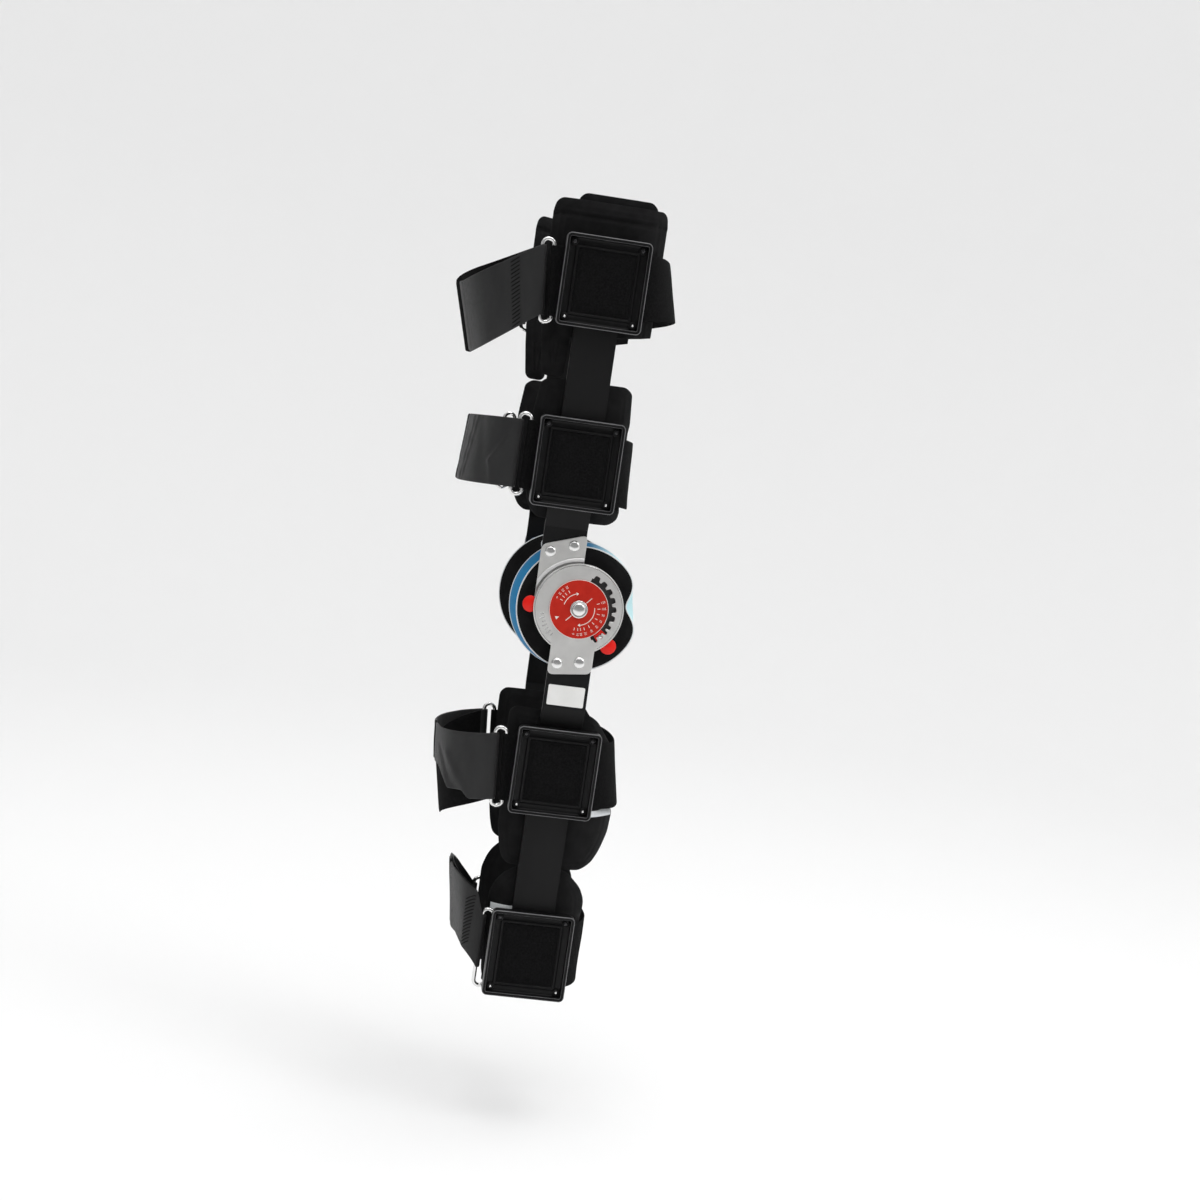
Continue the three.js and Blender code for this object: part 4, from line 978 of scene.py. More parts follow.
def numeral(text):
    """Points in a plane and faces of a thin raised numeral, centred."""
    curve = bpy.data.curves.new("numeral", "FONT")
    curve.body = text
    curve.size = NUMBER["size"]
    curve.align_x, curve.align_y = "CENTER", "CENTER"
    curve.resolution_u = 2
    curve.extrude = NUMBER["thick"]
    holder = bpy.data.objects.new("numeral", curve)
    bpy.context.scene.collection.objects.link(holder)
    bpy.context.view_layer.update()
    solid = bpy.data.meshes.new_from_object(holder.evaluated_get(bpy.context.evaluated_depsgraph_get()))
    points = np.array([v.co for v in solid.vertices])
    faces = [tuple(p.vertices) for p in solid.polygons]
    bpy.data.objects.remove(holder)
    bpy.data.meshes.remove(solid)
    return points, faces


def on_dial(points, degrees):
    """Lays a numeral along a radius of the dial's face, the way up that reads from left to right."""
    upright = math.cos(math.radians(degrees)) > NUMBER["turn_over"]
    turn = math.radians(degrees if upright else degrees + 180)
    y = points[:, 0] * math.cos(turn) - points[:, 1] * math.sin(turn)
    z = points[:, 0] * math.sin(turn) + points[:, 1] * math.cos(turn)
    centre = polar(NUMBER["r"], degrees)
    return np.column_stack([DIAL["x1"] + points[:, 2] + NUMBER["lift"], y + centre[0], z + centre[1]])


def flat_mark(outline):
    return sheet_metal(outline, [], DIAL["x1"] - MARK["sunk"], DIAL["x1"] + MARK["rise"], MARK["edge"])


def line_mark(line, degrees):
    """A straight radial line on the dial."""
    way = polar(1, degrees)
    across = np.array([-way[1], way[0]]) * line["width"] / 2
    inner, outer = way * line["inner"], way * line["outer"]
    return np.array([inner - across, outer - across, outer + across, inner + across])


def arrow_marks(r, start, end):
    """An arc with an arrow head at its end."""
    half, head_half = ARROW_LINE["half"], ARROW_LINE["head_half"]
    tip = end + math.copysign(ARROW_LINE["head_degrees"], end - start)
    head = [polar(r - head_half, end), polar(r + head_half, end), polar(r, tip)]
    return [ring_sector(r - half, r + half, start, end), np.array(head)]


def triangle_mark():
    base, middle, half = TRIANGLE["base"], TRIANGLE["degrees"], TRIANGLE["half"]
    return np.array([polar(TRIANGLE["tip"], middle), polar(base, middle - half), polar(base, middle + half)])


def make_dial_marks():
    """The numbers, lines, arrows and triangle on the outer dial."""
    marks = Shape()
    for value, degrees in [*FLEXION_MARKS.items(), *EXTENSION_MARKS.items()]:
        digits, faces = numeral(str(value))
        marks.add(on_dial(digits, degrees), faces, "dial_white")
        marks.add(*flat_mark(line_mark(SHORT_LINE, degrees)), "dial_white")
    outlines = [line_mark(LONG_LINE, degrees) for degrees in LONG_LINE_DEGREES]
    for arrow in ARROWS:
        outlines += arrow_marks(**arrow)
    for outline in [*outlines, triangle_mark()]:
        marks.add(*flat_mark(outline), "dial_white")
    marks.piece("dial_marks", "lower", slot="dial_red", smooth_deg=20)


def make_pivot():
    pivot = Shape().add(*spun(pivot_profile()), "bright_steel")
    pivot.piece("pivot_head", "lower", "pivot_rivet", "chrome", smooth_deg=50)


def make_dial(side_name):
    x0, x1, r, rim = DIAL["x0"], DIAL["x1"], DIAL["r"], DIAL["rim"]
    hole, back, front = PIVOT["hole_r"], DIAL["back_edge"], DIAL["front_edge"]
    rows = [(x0, hole), (x0, r - back), (x0 + back, r), (x1 - front, r), (x1, r - front), (x1, rim),
            (x1, rim - DIAL["line"]), (x1, hole + DIAL["hub"]), (x1, hole)]
    segments = DIAL["segments"]
    points, faces = spun(rows, segments=segments)
    faces = faces[:-2]
    last = (len(rows) - 1) * segments
    for j in range(segments):
        k = (j + 1) % segments
        faces.append((last + j, last + k, k, j))
    finish = []
    for band in range(len(rows)):
        finish += ["dial_white" if band in DIAL_WHITE_BANDS else "dial_red"] * segments
    dial = Shape().add(points, faces, finish)
    dial.piece(f"{side_name}_dial", "lower", f"dial_{side_name}", "dial_red", SIDES[side_name])


def turn_about_axis(points, degrees):
    angle = math.radians(degrees)
    y = points[:, 1] * math.cos(angle) - points[:, 2] * math.sin(angle)
    z = points[:, 1] * math.sin(angle) + points[:, 2] * math.cos(angle)
    return np.column_stack([points[:, 0], y, z])


def stop_lever():
    """A thumb tab and the lever that it sits on."""
    root, half = STOP_THUMB["root"], STOP_THUMB["root_half"]
    tip, tip_half = STOP_THUMB["tip"], STOP_THUMB["tip_half"]
    x0, x1, thinner = STOP_X["x0"], STOP_X["x1"], STOP_ARM["thinner"]
    end = arc(tip_half, -90, 90, step=6) + np.array([tip - tip_half, 0])
    thumb = np.concatenate([[(root, -half)], end, [(root, half)]])
    arm = ring_sector(STOP_ARM["inner"], root + STOP_ARM["overlap"], -STOP_ARM["half"], STOP_ARM["half"])
    return [(sheet_metal(thumb, [], x0, x1, STOP_THUMB["edge"]), "stop_red"),
            (sheet_metal(arm, [], x0 + thinner, x1 - thinner, STOP_ARM["edge"]), "stop_red")]


def stop_tooth():
    """A tooth and a pin that stand in the window."""
    foot, face = STOP_X["x1"] - STOP_TOOTH["sunk"], FRONT["x1"]
    tooth = ring_sector(STOP_TOOTH["inner"], STOP_TOOTH["outer"], -STOP_TOOTH["half"], STOP_TOOTH["half"])
    rows = [(foot, 0), (foot, STOP_PIN["r"]), (face - STOP_PIN["cone"], STOP_PIN["r"]), (face, 0)]
    return [(sheet_metal(tooth, [], foot, face, STOP_TOOTH["edge"]), "stop_red"),
            (spun(rows, STOP_PIN["from_axis"], segments=24), "bright_steel")]


def make_stop(name, at_degrees, parts):
    """A red stop behind the front plate, turned to its setting."""
    shape = Shape()
    for (points, faces), finish in parts:
        shape.add(turn_about_axis(points, at_degrees), faces, finish)
    shape.piece(f"{name}_tab", name, name, "stop_red", smooth_deg=50)


def round_rect(width, height, corner, steps=7):
    """A rectangle with round corners, always with the same number of points."""
    centres = [(1, 1, 0), (-1, 1, 90), (-1, -1, 180), (1, -1, 270)]
    points = []
    for sy, sz, start in centres:
        turn = np.linspace(start, start + 90, steps)
        middle = np.array([sy * (width / 2 - corner), sz * (height / 2 - corner)])
        points.append(middle + polar(corner, turn))
    return np.concatenate(points)


def plate_loops(rows, bar, w0):
    """Loops of a square tray, from rows of inset, level and height."""
    loops = []
    for cut, level, height in rows:
        corner = max(PLATE["corner"] - cut, PLATE["least_corner"])
        outline = round_rect(PLATE["width"] - 2 * cut, PLATE["height"] - 2 * cut, corner)
        loops.append(on_bar(bar, PLATE[level] + height, outline[:, 0], w0 + outline[:, 1]))
    return np.array(loops)


def make_plate(cuff_name, side_name):
    cuff, side = CUFFS[cuff_name], SIDES[side_name]
    bar = bar_of(cuff)
    w0 = along(bar, cuff["z"])
    rows = PLATE_ROWS + PATCH_WELL_ROWS if side_name == "lateral" else PLATE_ROWS
    points, faces = loft(plate_loops(rows, bar, w0))
    sides = (len(faces) - 2) // (len(rows) - 1)
    finish = []
    # The rim's edge bands get the lighter finish as painted highlights
    for band in range(len(rows) - 1):
        finish += ["moulded_edge" if band in PLATE_HIGHLIGHT_BANDS else "moulded_black"] * sides
    shape = Shape().add(points, faces, finish + ["moulded_black"] * 2)
    if side_name == "lateral":
        add_screws(shape, bar, w0)
    node = f"plate_{cuff_name}_{side_name}"
    shape.piece(f"{cuff_name}_{side_name}_plate", body_of(cuff), node, "black_plastic", side, smooth_deg=60)


def add_screws(shape, bar, w0):
    """A boss with a small screw in each corner of a tray, and a bright steel dot on the lower two screws, a
    painted glint.
    """
    angle = np.linspace(0, 2 * np.pi, STEPS["screw"], endpoint=False)
    for back_or_front in (-1, 1):
        for low_or_high in (-1, 1):
            v0 = back_or_front * (PLATE["width"] / 2 - SCREW_INSET)
            w1 = w0 + low_or_high * (PLATE["height"] / 2 - SCREW_INSET)
            for finish, rows in CORNER_PARTS.items():
                # The upper screws get no bright dot: the dot is a painted glint on the lower two only
                if finish == "bright_steel" and low_or_high > 0:
                    continue
                loops = []
                for height, r in rows:
                    v, w = v0 + r * np.cos(angle), w1 + r * np.sin(angle)
                    loops.append(on_bar(bar, PLATE["floor_u"] + height, v, w))
                shape.add(*loft(np.array(loops)), finish)


def make_patch(cuff_name):
    """The square of loop fabric in a plate: a low pillow, tucked in at its edge."""
    cuff = CUFFS[cuff_name]
    bar = bar_of(cuff)
    w0 = along(bar, cuff["z"])
    half_v, half_w = PLATE["width"] / 2 - PATCH["inset"], PLATE["height"] / 2 - PATCH["inset"]
    v, w = np.meshgrid(np.linspace(-half_v, half_v, PATCH["columns"]),
                       np.linspace(-half_w, half_w, PATCH["rows"]))
    edge = np.minimum(half_v - np.abs(v), half_w - np.abs(w))
    flat = np.stack([v, w, 0 * v], -1)
    height = PLATE["floor_u"] + PATCH["edge_u"] + PATCH["crown"] * smooth_step(edge / PATCH["crown_edge"])
    pile = wrinkle(flat, PATCH["pile_scale"], seed_of(cuff_name, "patch")) * PATCH["pile"]
    outer = on_bar(bar, height + pile * smooth_step(edge / PATCH["pile_edge"]), v, w0 + w)
    inner = on_bar(bar, np.full_like(v, PLATE["floor_u"] + PATCH["back_u"]), v, w0 + w)
    shape = Shape().add(*wall(outer, inner), "loop_cloth", np.concatenate([flat, flat]))
    node = f"patch_{cuff_name}"
    piece = shape.piece(f"{cuff_name}_patch", body_of(cuff), node, "loop_cloth", smooth_deg=70)


def make_ring(cuff_name, side_name):
    cuff, side = CUFFS[cuff_name], SIDES[side_name]
    bar = bar_of(cuff)
    across = RING["width"] / 2 - RING["wire"]
    straight = RING["height"] / 2 - RING["wire"] - across
    top = arc(across, 0, 180, step=7.5) + np.array([0, straight])
    bottom = arc(across, 180, 360, step=7.5) - np.array([0, straight])
    upright = np.linspace(-straight, straight, STEPS["ring_side"])[1:-1]
    front, back = [np.column_stack([np.full_like(upright, s * across), s * upright]) for s in (1, -1)]
    outline = np.concatenate([top, back, bottom, front])
    tilt = -math.atan(cuff["ring"]["lean"])
    v = cuff["ring"]["v"] + outline[:, 0] * math.cos(tilt) - outline[:, 1] * math.sin(tilt)
    w = cuff["ring"]["lift"] + outline[:, 0] * math.sin(tilt) + outline[:, 1] * math.cos(tilt)
    path = on_bar(bar, RING["u"], v, along(bar, cuff["z"]) + w)
    shape = Shape().add(*tube(path, RING["wire"], sides=16, closed=True), "bright_steel")
    node = f"ring_{cuff_name}_{side_name}"
    shape.piece(f"{cuff_name}_{side_name}_ring", body_of(cuff), node, "chrome", side, smooth_deg=80)


# Padding

def pad_face(cuff, v, z):
    """How far out a panel's face lies: flat behind the bar, bowed past it, inside the front strap's loop."""
    under_strap = 1 - smooth_step((np.abs(z - cuff["z"]) - STRAP_WIDTH / 2) / PAD_STRAP["fade"])
    bar = bar_of(cuff)
    past = np.maximum(0, np.abs(v) - BAR_WIDTH / 2)
    bowed = -PAD["gap"] - PAD["bow"] * past * past
    reach = on_bar(bar, STRAP_U, 0, along(bar, cuff["z"]))[0]
    front = cuff["front"]
    depth = front["y"] - abs(front["lean"]) * STRAP_WIDTH / 2 - bar["y"] - front["loop_v"]
    share = np.clip((v - front["loop_v"]) / depth, 0, 1)
    inward = reach * (1 - (1 - share ** LOOP_POWER) ** (1 / LOOP_POWER))
    tucked = STRAP_U - PAD_STRAP["under"] - PAD_STRAP["gap"] - inward * PAD_STRAP["lean"]
    tucked = np.where(v > front["loop_v"], np.minimum(bowed, tucked), bowed)
    return bowed + (tucked - bowed) * under_strap


def pad_give_way(cuff, z):
    """Where the upper bar bends towards the leg, the panel behind it gives way."""
    if cuff["z"] < 0:
        return np.zeros_like(z)
    return -UPPER_BEND["shift"] * np.maximum(0, UPPER_BAR["z"] - z) / UPPER_BEND["length"]


def softened(levels, known, values):
    """Values between known levels, averaged over a short stretch so that an outline has no corners."""
    shifts = np.linspace(-PAD_SOFTEN, PAD_SOFTEN, STEPS["soften"])
    return np.mean([np.interp(levels + shift, known, values) for shift in shifts], axis=0)


def white_tape(cuff, tape):
    """A strip of white tape that shows on a panel beside its plate."""
    bar = bar_of(cuff)
    v, z = np.meshgrid(np.linspace(tape["from_v"], tape["to_v"], STEPS["tape_along"]),
                       np.linspace(tape["bottom_z"], tape["top_z"], STEPS["tape_across"]))
    face = pad_face(cuff, v, z) + WHITE_TAPE["lift"]
    outer = on_bar(bar, face, v, along(bar, z))
    inner = on_bar(bar, face - WHITE_TAPE["thick"], v, along(bar, z))
    return wall(outer, inner)


def panel_grid(rows):
    """Places over a panel, from rows of level, back and front edge, and how far each one is from the rim."""
    table = np.array(rows)[::-1]
    low, high = table[0, 0], table[-1, 0]
    near = np.array(PAD_EDGE["levels"])
    levels = np.unique(np.concatenate([np.arange(low, high, PAD_STEP), [high], low + near, high - near]))
    from_end = np.clip(np.minimum(levels - low, high - levels), 0, PAD_CORNER)
    corner = PAD_CORNER - np.sqrt(PAD_CORNER**2 - (PAD_CORNER - from_end) ** 2)
    back = softened(levels, table[:, 0], table[:, 1]) + corner
    front = softened(levels, table[:, 0], table[:, 2]) - corner
    columns = int(np.max(front - back) / PAD_STEP)
    share = np.linspace(0, 1, columns)
    crowd = PAD_EDGE["crowd"]
    share = 0.5 - 0.5 * np.cos(np.pi * share) * crowd + (share - 0.5) * (1 - crowd)
    v = back[:, None] + (front - back)[:, None] * share
    z = np.repeat(levels[:, None], columns, 1)
    edge = np.minimum(np.minimum(v - back[:, None], front[:, None] - v), np.minimum(z - low, high - z))
    return v, z, edge


def panel(cuff, rows, seed, outer_u, thick):
    """Outer and inner grids of a padded panel, and each point's place on it."""
    bar = bar_of(cuff)
    v, z, edge = panel_grid(rows)
    to_flat = np.clip(edge / PAD_EDGE["round"], 0, 1)
    roundness = np.sqrt(np.clip(1 - (1 - to_flat) ** 2, PAD_EDGE["least"], 1))
    thin = PAD["edge"] / PAD["thick"]
    half = thick / 2 * (thin + (1 - thin) * smooth_step(edge / PAD_EDGE["taper"])) * roundness
    place = np.stack([v, z, np.zeros_like(v)], -1)
    soft = wrinkle(place, PAD_SOFT["wide"], seed) * PAD_SOFT["wide_height"]
    soft = soft + wrinkle(place, PAD_SOFT["fine"], seed + PAD_SOFT["fine_seed"]) * PAD_SOFT["fine_height"]
    groove = -PAD_HEM["depth"] * np.exp(-((edge - PAD_HEM["inset"]) / PAD_HEM["half"]) ** 2)
    groove -= PAD_SEAM["depth"] * np.exp(-((z - PAD_SEAM["z"]) / PAD_SEAM["half"]) ** 2)
    quiet = smooth_step((np.abs(v) - BAR_WIDTH / 2 + PAD_QUIET["bar_margin"]) / PAD_QUIET["fade"])
    fade = smooth_step(edge / PAD_SOFT["fade"])
    middle = pad_face(cuff, v, z) + pad_give_way(cuff, z) + outer_u - thick / 2
    w = along(bar, z)
    outer = on_bar(bar, middle + half + (soft - PAD_SOFT["share"]) * quiet * fade + groove, v, w)
    inner = on_bar(bar, middle - half - soft * PAD_SOFT["share"] * fade - groove, v, w)
    return outer, inner, place


def make_pad(cuff_name, side_name):
    cuff, side = CUFFS[cuff_name], SIDES[side_name]
    seed = seed_of(cuff_name, f"{side_name}_pad")
    shape = Shape()
    layers = [(PADS[cuff_name], 0, PAD["thick"])]
    if cuff_name == "upper_thigh":
        layers = [(PADS[cuff_name], 0, TWO_LAYERS["over_thick"]),
                  (UNDER_LAYER, TWO_LAYERS["under_u"], TWO_LAYERS["under_thick"])]
    for rows, outer_u, thick in layers:
        outer, inner, place = panel(cuff, rows, seed, outer_u, thick)
        shape.add(*wall(outer, inner), "pad_cloth", np.concatenate([place.reshape(-1, 3)] * 2))
    if side_name == "lateral" and cuff_name in WHITE_TAPES:
        shape.add(*white_tape(cuff, WHITE_TAPES[cuff_name]), "white_piping")
    node = f"pad_{cuff_name}_{side_name}"
    piece = shape.piece(f"{cuff_name}_{side_name}_pad", body_of(cuff), node, "pad_cloth", side, smooth_deg=75)


def condyle_loop(x, r):
    """A loop round the padding behind the hinge, dented at the front."""
    degrees = np.linspace(0, 360, CONDYLE["points"], endpoint=False)
    share = np.clip((x - CONDYLE_BASE["x"]) / (CONDYLE_FACE["x"] - CONDYLE_BASE["x"]), 0, 1)
    y, z, dent = [CONDYLE_BASE[k] + (CONDYLE_FACE[k] - CONDYLE_BASE[k]) * share for k in ("y", "z", "dent")]
    away = (degrees - CONDYLE["dent_deg"] + 540) % 360 - 180
    depth = dent * np.exp(-((away / CONDYLE["dent_half"]) ** 2)) * min(1, r / CONDYLE["dent_r"])
    ring = polar(1, degrees) * (r - depth)[:, None]
    return np.column_stack([np.full_like(degrees, x), y + ring[:, 0], z + ring[:, 1]])


def cord_loop():
    """A small pull loop on the rim of the padding behind the hinge."""
    turn = np.linspace(0, 2 * np.pi, STEPS["cord_loop"], endpoint=False)[:, None]
    out = polar(1, CORD_LOOP["degrees"])
    across = np.array([-out[1], out[0]])
    ring = (CORD_LOOP["r"] + CORD_LOOP["long"] * np.cos(turn)) * out
    ring = ring + CORD_LOOP["wide"] * np.sin(turn) * across
    path = np.column_stack([np.full(len(turn), CORD_LOOP["x"]), ring])
    return tube(path, CORD_LOOP["cord"], sides=8, closed=True)


def make_condyle_pad(side_name):
    side = SIDES[side_name]
    shape = Shape()
    loops, finish = [], []
    for kind, rows in CONDYLE_ROWS:
        loops += [condyle_loop(x, r) for x, r in rows]
        finish += [kind] * len(rows) * CONDYLE["points"]
    points, faces = loft(np.array(loops))
    shape.add(points, faces, finish[:-CONDYLE["points"]] + ["pad_cloth", "pad_cloth"])
    for piping in CONDYLE_PIPING:
        path = condyle_loop(piping["x"], piping["r"])
        shape.add(*tube(path, piping["cord"], sides=8, closed=True), "white_piping")
    if side_name == "lateral":
        shape.add(*cord_loop(), "white_piping")
    node = f"condyle_pad_{side_name}"
    piece = shape.piece(f"{side_name}_condyle_pad", "upper", node, "condyle_cloth", side, smooth_deg=60)


# Straps

class Strap:
    """A band along a path in X and Y, with a height, a lean forwards and a gather at each station.

    Its inner-side half may be skewed forwards, as a leg is rounder there.
    """

    def __init__(self, half_path, bar, place_at, skew=0):
        reach = half_path[:, 0].max()
        half_path = resample(half_path, STATION_STEP)
        mirrored = half_path[-2::-1] * np.array([-1, 1])
        mirrored[:, 1] += skew * np.sin(np.pi * np.clip(-mirrored[:, 0] / reach, 0, 1))
        self.path = np.concatenate([half_path, mirrored])
        self.length = lengths(self.path)
        self.z, self.lean, self.gather, self.flare = place_at(self.path[:, 1])
        self.out_lean = math.tan(bar["flare"]) * self.path[:, 0] / reach
        tangent = np.gradient(self.path, self.length, axis=0)
        tangent /= np.linalg.norm(tangent, axis=1, keepdims=True)
        self.out = np.stack([tangent[:, 1], -tangent[:, 0]], 1)

    def at(self, s, across, lift):
        """Points at distances along, heights across and lifts off the band's middle."""
        s, across, lift = np.broadcast_arrays(*[np.asarray(n, float) for n in (s, across, lift)])
        columns = (*self.path.T, self.z, self.lean, self.gather, self.flare, self.out_lean, *self.out.T)
        x, y, z, lean, gather, flare, out_lean, out_x, out_y = [np.interp(s, self.length, c) for c in columns]
        share = across / STRAP_WIDTH
        across = across + gather * (0.5 - share) + flare * (0.5 + share)
        x, y = x + out_x * lift + out_lean * across, y + out_y * lift + lean * across
        return np.stack([x, y, z + across], -1)


def share_of(value, start, end):
    """How far a value has come from one end of a stretch to the other, from 0 to 1."""
    return np.clip((value - start) / (end - start), 0, 1)


def lengths(path):
    steps = np.linalg.norm(np.diff(path, axis=0), axis=1)
    return np.concatenate([[0], np.cumsum(steps)])


def resample(path, step):
    """The same path with even steps."""
    along_path = lengths(path)
    keep = np.concatenate([[True], np.diff(along_path) > 1e-6])
    even = np.linspace(0, along_path[-1], max(2, int(along_path[-1] / step)) + 1)
    return np.column_stack([np.interp(even, along_path[keep], path[keep][:, k]) for k in (0, 1)])


def quarter_loop(reach, y0, y1, steps=48):
    """A round-cornered half loop from the side of the leg to its middle."""
    angle = np.linspace(0, np.pi / 2, steps + 1)
    power = 2 / LOOP_POWER
    return np.column_stack([reach * np.cos(angle) ** power, y0 + (y1 - y0) * np.sin(angle) ** power])


def across_band():
    """Positions across a strap, close together at its edges, and the thickness there as a share."""
    start, edge_columns = BAND_EDGE["from"], np.array(BAND_EDGE["columns"])
    inside = np.linspace(-start, start, BAND_EDGE["inside"])
    share = np.concatenate([-edge_columns[::-1], inside, edge_columns])
    edge = share_of(np.abs(share), start, 1)
    return share * STRAP_WIDTH / 2, np.sqrt(np.maximum(1 - edge**2, BAND_EDGE["least"]))


def crease_height(cuff_name, s, across):
    """The height of a rear strap's creases, by distance from its ring."""
    total = np.zeros(np.broadcast(s, across).shape)
    for s0, a0, s1, a1, width, depth in CREASES[cuff_name]:
        start, way = np.array([s0, a0]), np.array([s1 - s0, a1 - a0], float)
        place = np.stack(np.broadcast_arrays(s, across), -1) - start
        t = np.clip(place @ way / (way @ way), 0, 1)
        gap = np.linalg.norm(place - t[..., None] * way, axis=-1)
        total += depth * np.exp(-((gap / width) ** 2))
    return total


def make_front_strap(cuff_name):
    cuff = CUFFS[cuff_name]
    bar = bar_of(cuff)
    ring, front = cuff["ring"], cuff["front"]
    w0 = along(bar, cuff["z"])
    ring_bar = on_bar(bar, RING["u"], ring["v"] + RING["width"] / 2 - RING["wire"], w0 + ring["lift"])
    plate_x = on_bar(bar, STRAP_U, 0, w0)[0]
    loop_y = bar["y"] + front["loop_v"]
    wrap = arc(WRAP_R, 180, 360, step=12) + ring_bar[:2]
    tail = np.array([[ring_bar[0] - WRAP_R, ring_bar[1] + front["tail"]]])
    path = np.concatenate([tail, wrap, [[plate_x, bar["y"]]], quarter_loop(plate_x, loop_y, front["y"])])

    def place_at(y):
        by_ring = share_of(y, bar["y"], ring_bar[1])
        ahead = share_of(y, loop_y, front["y"])
        z = cuff["z"] + ring["lift"] * by_ring + front["lift"] * ahead
        return z, ring["lean"] * by_ring + front["lean"] * ahead, front["gather"] * ahead, 0 * y

    strap = Strap(path, bar, place_at)
    across, thick = across_band()
    s, rise = np.meshgrid(strap.length, across, indexing="ij")
    ahead = smooth_step(share_of(strap.path[:, 1], loop_y, front["y"]))[:, None]
    flat = np.stack([s, rise, 0 * s], -1)
    seed = seed_of(cuff_name, "front_strap")
    soft = wrinkle(flat, FRONT_SOFT["scale"], seed) * FRONT_SOFT["height"] * ahead
    grids = [strap.at(s, rise, soft + sign * STRAP_THICK / 2 * thick) for sign in (1, -1)]
    shape = Shape().add(*wall(*grids), "loop_cloth", np.concatenate([flat.reshape(-1, 3)] * 2))
    node = f"front_strap_{cuff_name}"
    piece = shape.piece(f"{cuff_name}_front_band", body_of(cuff), node, "webbing", smooth_deg=70)


def rear_path(cuff):
    """The rear strap's outer half, from its free end to the ring and round the leg to its middle."""
    bar = bar_of(cuff)
    ring, rear = cuff["ring"], cuff["rear"]
    ring_w = along(bar, cuff["z"]) + ring["lift"]
    ring_bar = on_bar(bar, RING["u"], ring["v"] - RING["width"] / 2 + RING["wire"], ring_w)
    layer = resample(quarter_loop(ring_bar[0] - WRAP_R, ring_bar[1], rear["y"]), STATION_STEP)
    run = lengths(layer)
    tangent = np.gradient(layer, run, axis=0)
    tangent /= np.linalg.norm(tangent, axis=1, keepdims=True)
    out = np.stack([-tangent[:, 1], tangent[:, 0]], 1)
    offset = 2 * WRAP_R + (LAYER_STEP - 2 * WRAP_R) * smooth_step(run / LAYER_MERGE)
    tail = (layer + out * offset[:, None])[run < run[-1] - rear["tail_stop"]]
    wrap = arc(WRAP_R, 0, 180, step=12) + ring_bar[:2]
    bulge = rear["bulge"] * smooth_step((run - run[-1] + rear["tail_stop"]) / BULGE_LENGTH)
    layer = layer + out * bulge[:, None]
    return np.concatenate([tail[::-1], wrap, layer[1:]]), ring_bar, lengths(tail)[-1]


def tail_lift(cuff_name, s, across, from_ring):
    """How far creases and softness lift a rear strap's free end."""
    flat = np.stack(np.broadcast_arrays(s, across, 0 * s), -1)
    soft = wrinkle(flat, REAR_SOFT["scale"], seed_of(cuff_name, "rear_strap")) * REAR_SOFT["height"]
    soft = crease_height(cuff_name, from_ring, across) + soft + REAR_SOFT["lift"]
    return soft * smooth_step(from_ring / REAR_SOFT["fade"])


def add_seam(shape, cuff_name, strap, tail_length, mirrored):
    """A row of slanted stitches across a strap, each a short thread on its outside."""
    rear = CUFFS[cuff_name]["rear"]
    reach = (STRAP_WIDTH - rear["stitch_rise"]) / 2 - THREAD["inset"]
    share = np.linspace(-1, 1, STEPS["stitch"])
    for middle in np.arange(-reach, reach, THREAD["pitch"]):
        across = middle + share * rear["stitch_rise"] / 2
        from_ring = rear["stitch"] - share * rear["stitch_half"] - rear["slant"] * across
        s = tail_length - from_ring
        if mirrored:
            s = strap.length[-1] - s
        lift = tail_lift(cuff_name, s, across, from_ring) + STRAP_THICK / 2 + THREAD["lift"]
        shape.add(*tube(strap.at(s, across, lift), THREAD["radius"], sides=6), "thread")


def rear_strap(cuff_name, path, ring_bar, tail_length):
    """The rear strap's band, and how far each of its stations lies past the ring."""
    cuff = CUFFS[cuff_name]
    ring, rear = cuff["ring"], cuff["rear"]

    def place_at(y):
        behind = share_of(y, ring_bar[1], rear["y"])
        past = ring_bar[1] - y
        gather = rear["gather"] * (1 - smooth_step(past / GATHER_LENGTH))
        fall = 1 - share_of(past, FLARE["rise"], FLARE["fall"])
        flare = rear["flare"] * smooth_step(past / FLARE["rise"]) * fall
        z = cuff["z"] + ring["lift"] + rear["lift"] * behind
        return z, ring["lean"] + (rear["lean"] - ring["lean"]) * behind, gather, flare

    strap = Strap(path, bar_of(cuff), place_at, rear["skew"])
    from_end = np.minimum(strap.length, strap.length[-1] - strap.length)
    past_ring = from_end - tail_length - math.pi * WRAP_R
    inner_share = share_of(past_ring, 0, past_ring.max())
    strap.z = strap.z + rear["inner_lift"] * inner_share
    strap.lean = strap.lean + rear["inner_lean"] * inner_share
    strap.path[:, 1] -= rear["inner_lean"] * STRAP_WIDTH / 2 * inner_share
    to_back = share_of(strap.path[:, 1], strap.path[:, 1].min(), strap.path[:, 1].min() + FLARE["round"])
    rounded_off = np.sqrt(1 - (1 - to_back) ** 2)
    strap.flare = strap.flare + rear["inner_flare"] * inner_share * rounded_off
    strap.flare = np.where((strap.path[:, 0] < 0) & (rear["flare"] > 0), 0, strap.flare)
    if cuff_name in FOLDED_END:
        folded = np.interp(ring_bar[1] - strap.path[:, 1], *FOLDED_END[cuff_name])
        strap.gather = np.where(past_ring < 0, folded, strap.gather)
    return strap, past_ring


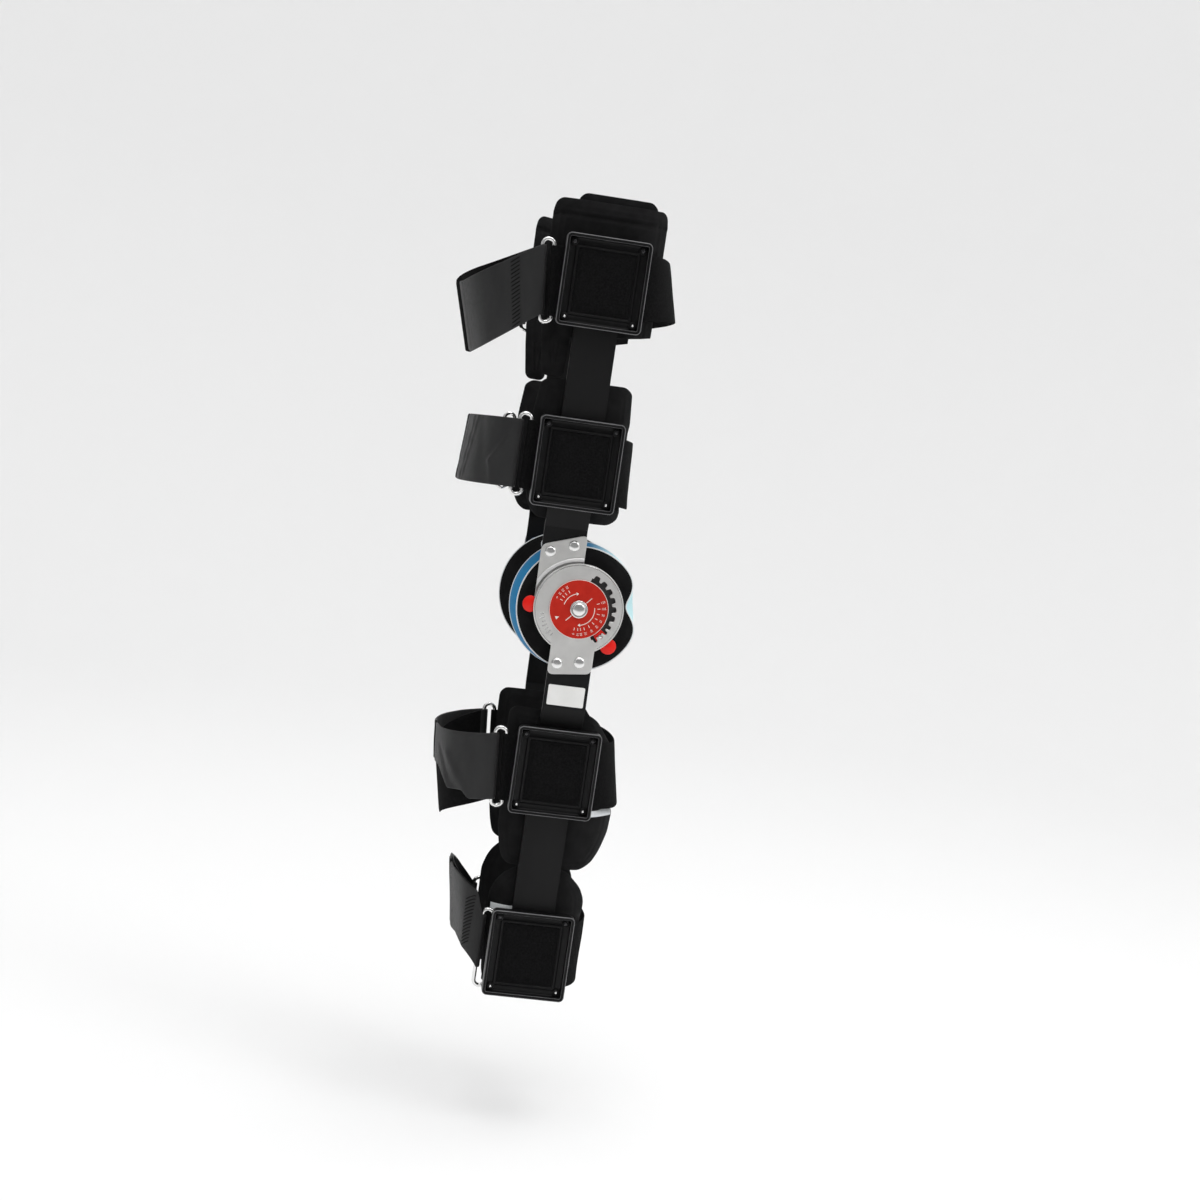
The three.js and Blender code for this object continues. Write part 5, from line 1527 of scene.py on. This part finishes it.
def make_rear_strap(cuff_name):
    cuff = CUFFS[cuff_name]
    path, ring_bar, tail_length = rear_path(cuff)
    strap, past_ring = rear_strap(cuff_name, path, ring_bar, tail_length)
    total = strap.length[-1]
    across, thick = across_band()
    s, rise = np.meshgrid(strap.length, across, indexing="ij")
    from_end = np.minimum(s, total - s)
    flat = np.stack([s, rise, 0 * s], -1)
    soft = tail_lift(cuff_name, s, rise, tail_length - from_end)
    hem = 1 + FREE_HEM["swell"] * smooth_step((FREE_HEM["length"] - from_end) / FREE_HEM["fade"])
    grids = [strap.at(s, rise, soft + sign * STRAP_THICK / 2 * thick * hem) for sign in (1, -1)]
    points, faces = wall(*grids)
    outside = (past_ring < SATIN_PAST_RING)[:-1]
    per_row = np.repeat(outside, len(across) - 1)
    finish = ["satin_webbing" if flag else "loop_cloth" for flag in np.concatenate([per_row, per_row])]
    finish += ["satin_webbing"] * (len(faces) - len(finish))
    shape = Shape().add(points, faces, finish, np.concatenate([flat.reshape(-1, 3)] * 2))
    if cuff["rear"]["stitch"]:
        for mirrored in (False, True):
            add_seam(shape, cuff_name, strap, tail_length, mirrored)
    node = f"rear_strap_{cuff_name}"
    piece = shape.piece(f"{cuff_name}_rear_band", body_of(cuff), node, "webbing", smooth_deg=70)
    if cuff_name in ("lower_thigh", "upper_calf"):
        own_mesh(piece)


# The whole brace

make_camera()
make_stage()
for side_name in SIDES:
    for bar_name in ("upper_bar", "lower_bar"):
        dress_node(f"{bar_name}_{side_name}", "bar_black", bevel_mm=0.5)
    make_hinge_plates(side_name)
    make_dial(side_name)
    if side_name == "lateral":
        make_dial_marks()
        make_pivot()
    make_condyle_pad(side_name)
    for cuff_name in CUFFS:
        make_plate(cuff_name, side_name)
        make_ring(cuff_name, side_name)
        make_pad(cuff_name, side_name)
dress_node("friction_disc", "dark_line", bevel_mm=0.2)
dress_node("size_label", "label_paper", bevel_mm=0.1)
make_stop("flexion_stop", FLEXION_STOP_DEG, stop_lever() + stop_tooth())
make_stop("extension_stop", EXTENSION_STOP_DEG, stop_lever())
for cuff_name in CUFFS:
    make_patch(cuff_name)
    make_front_strap(cuff_name)
    make_rear_strap(cuff_name)
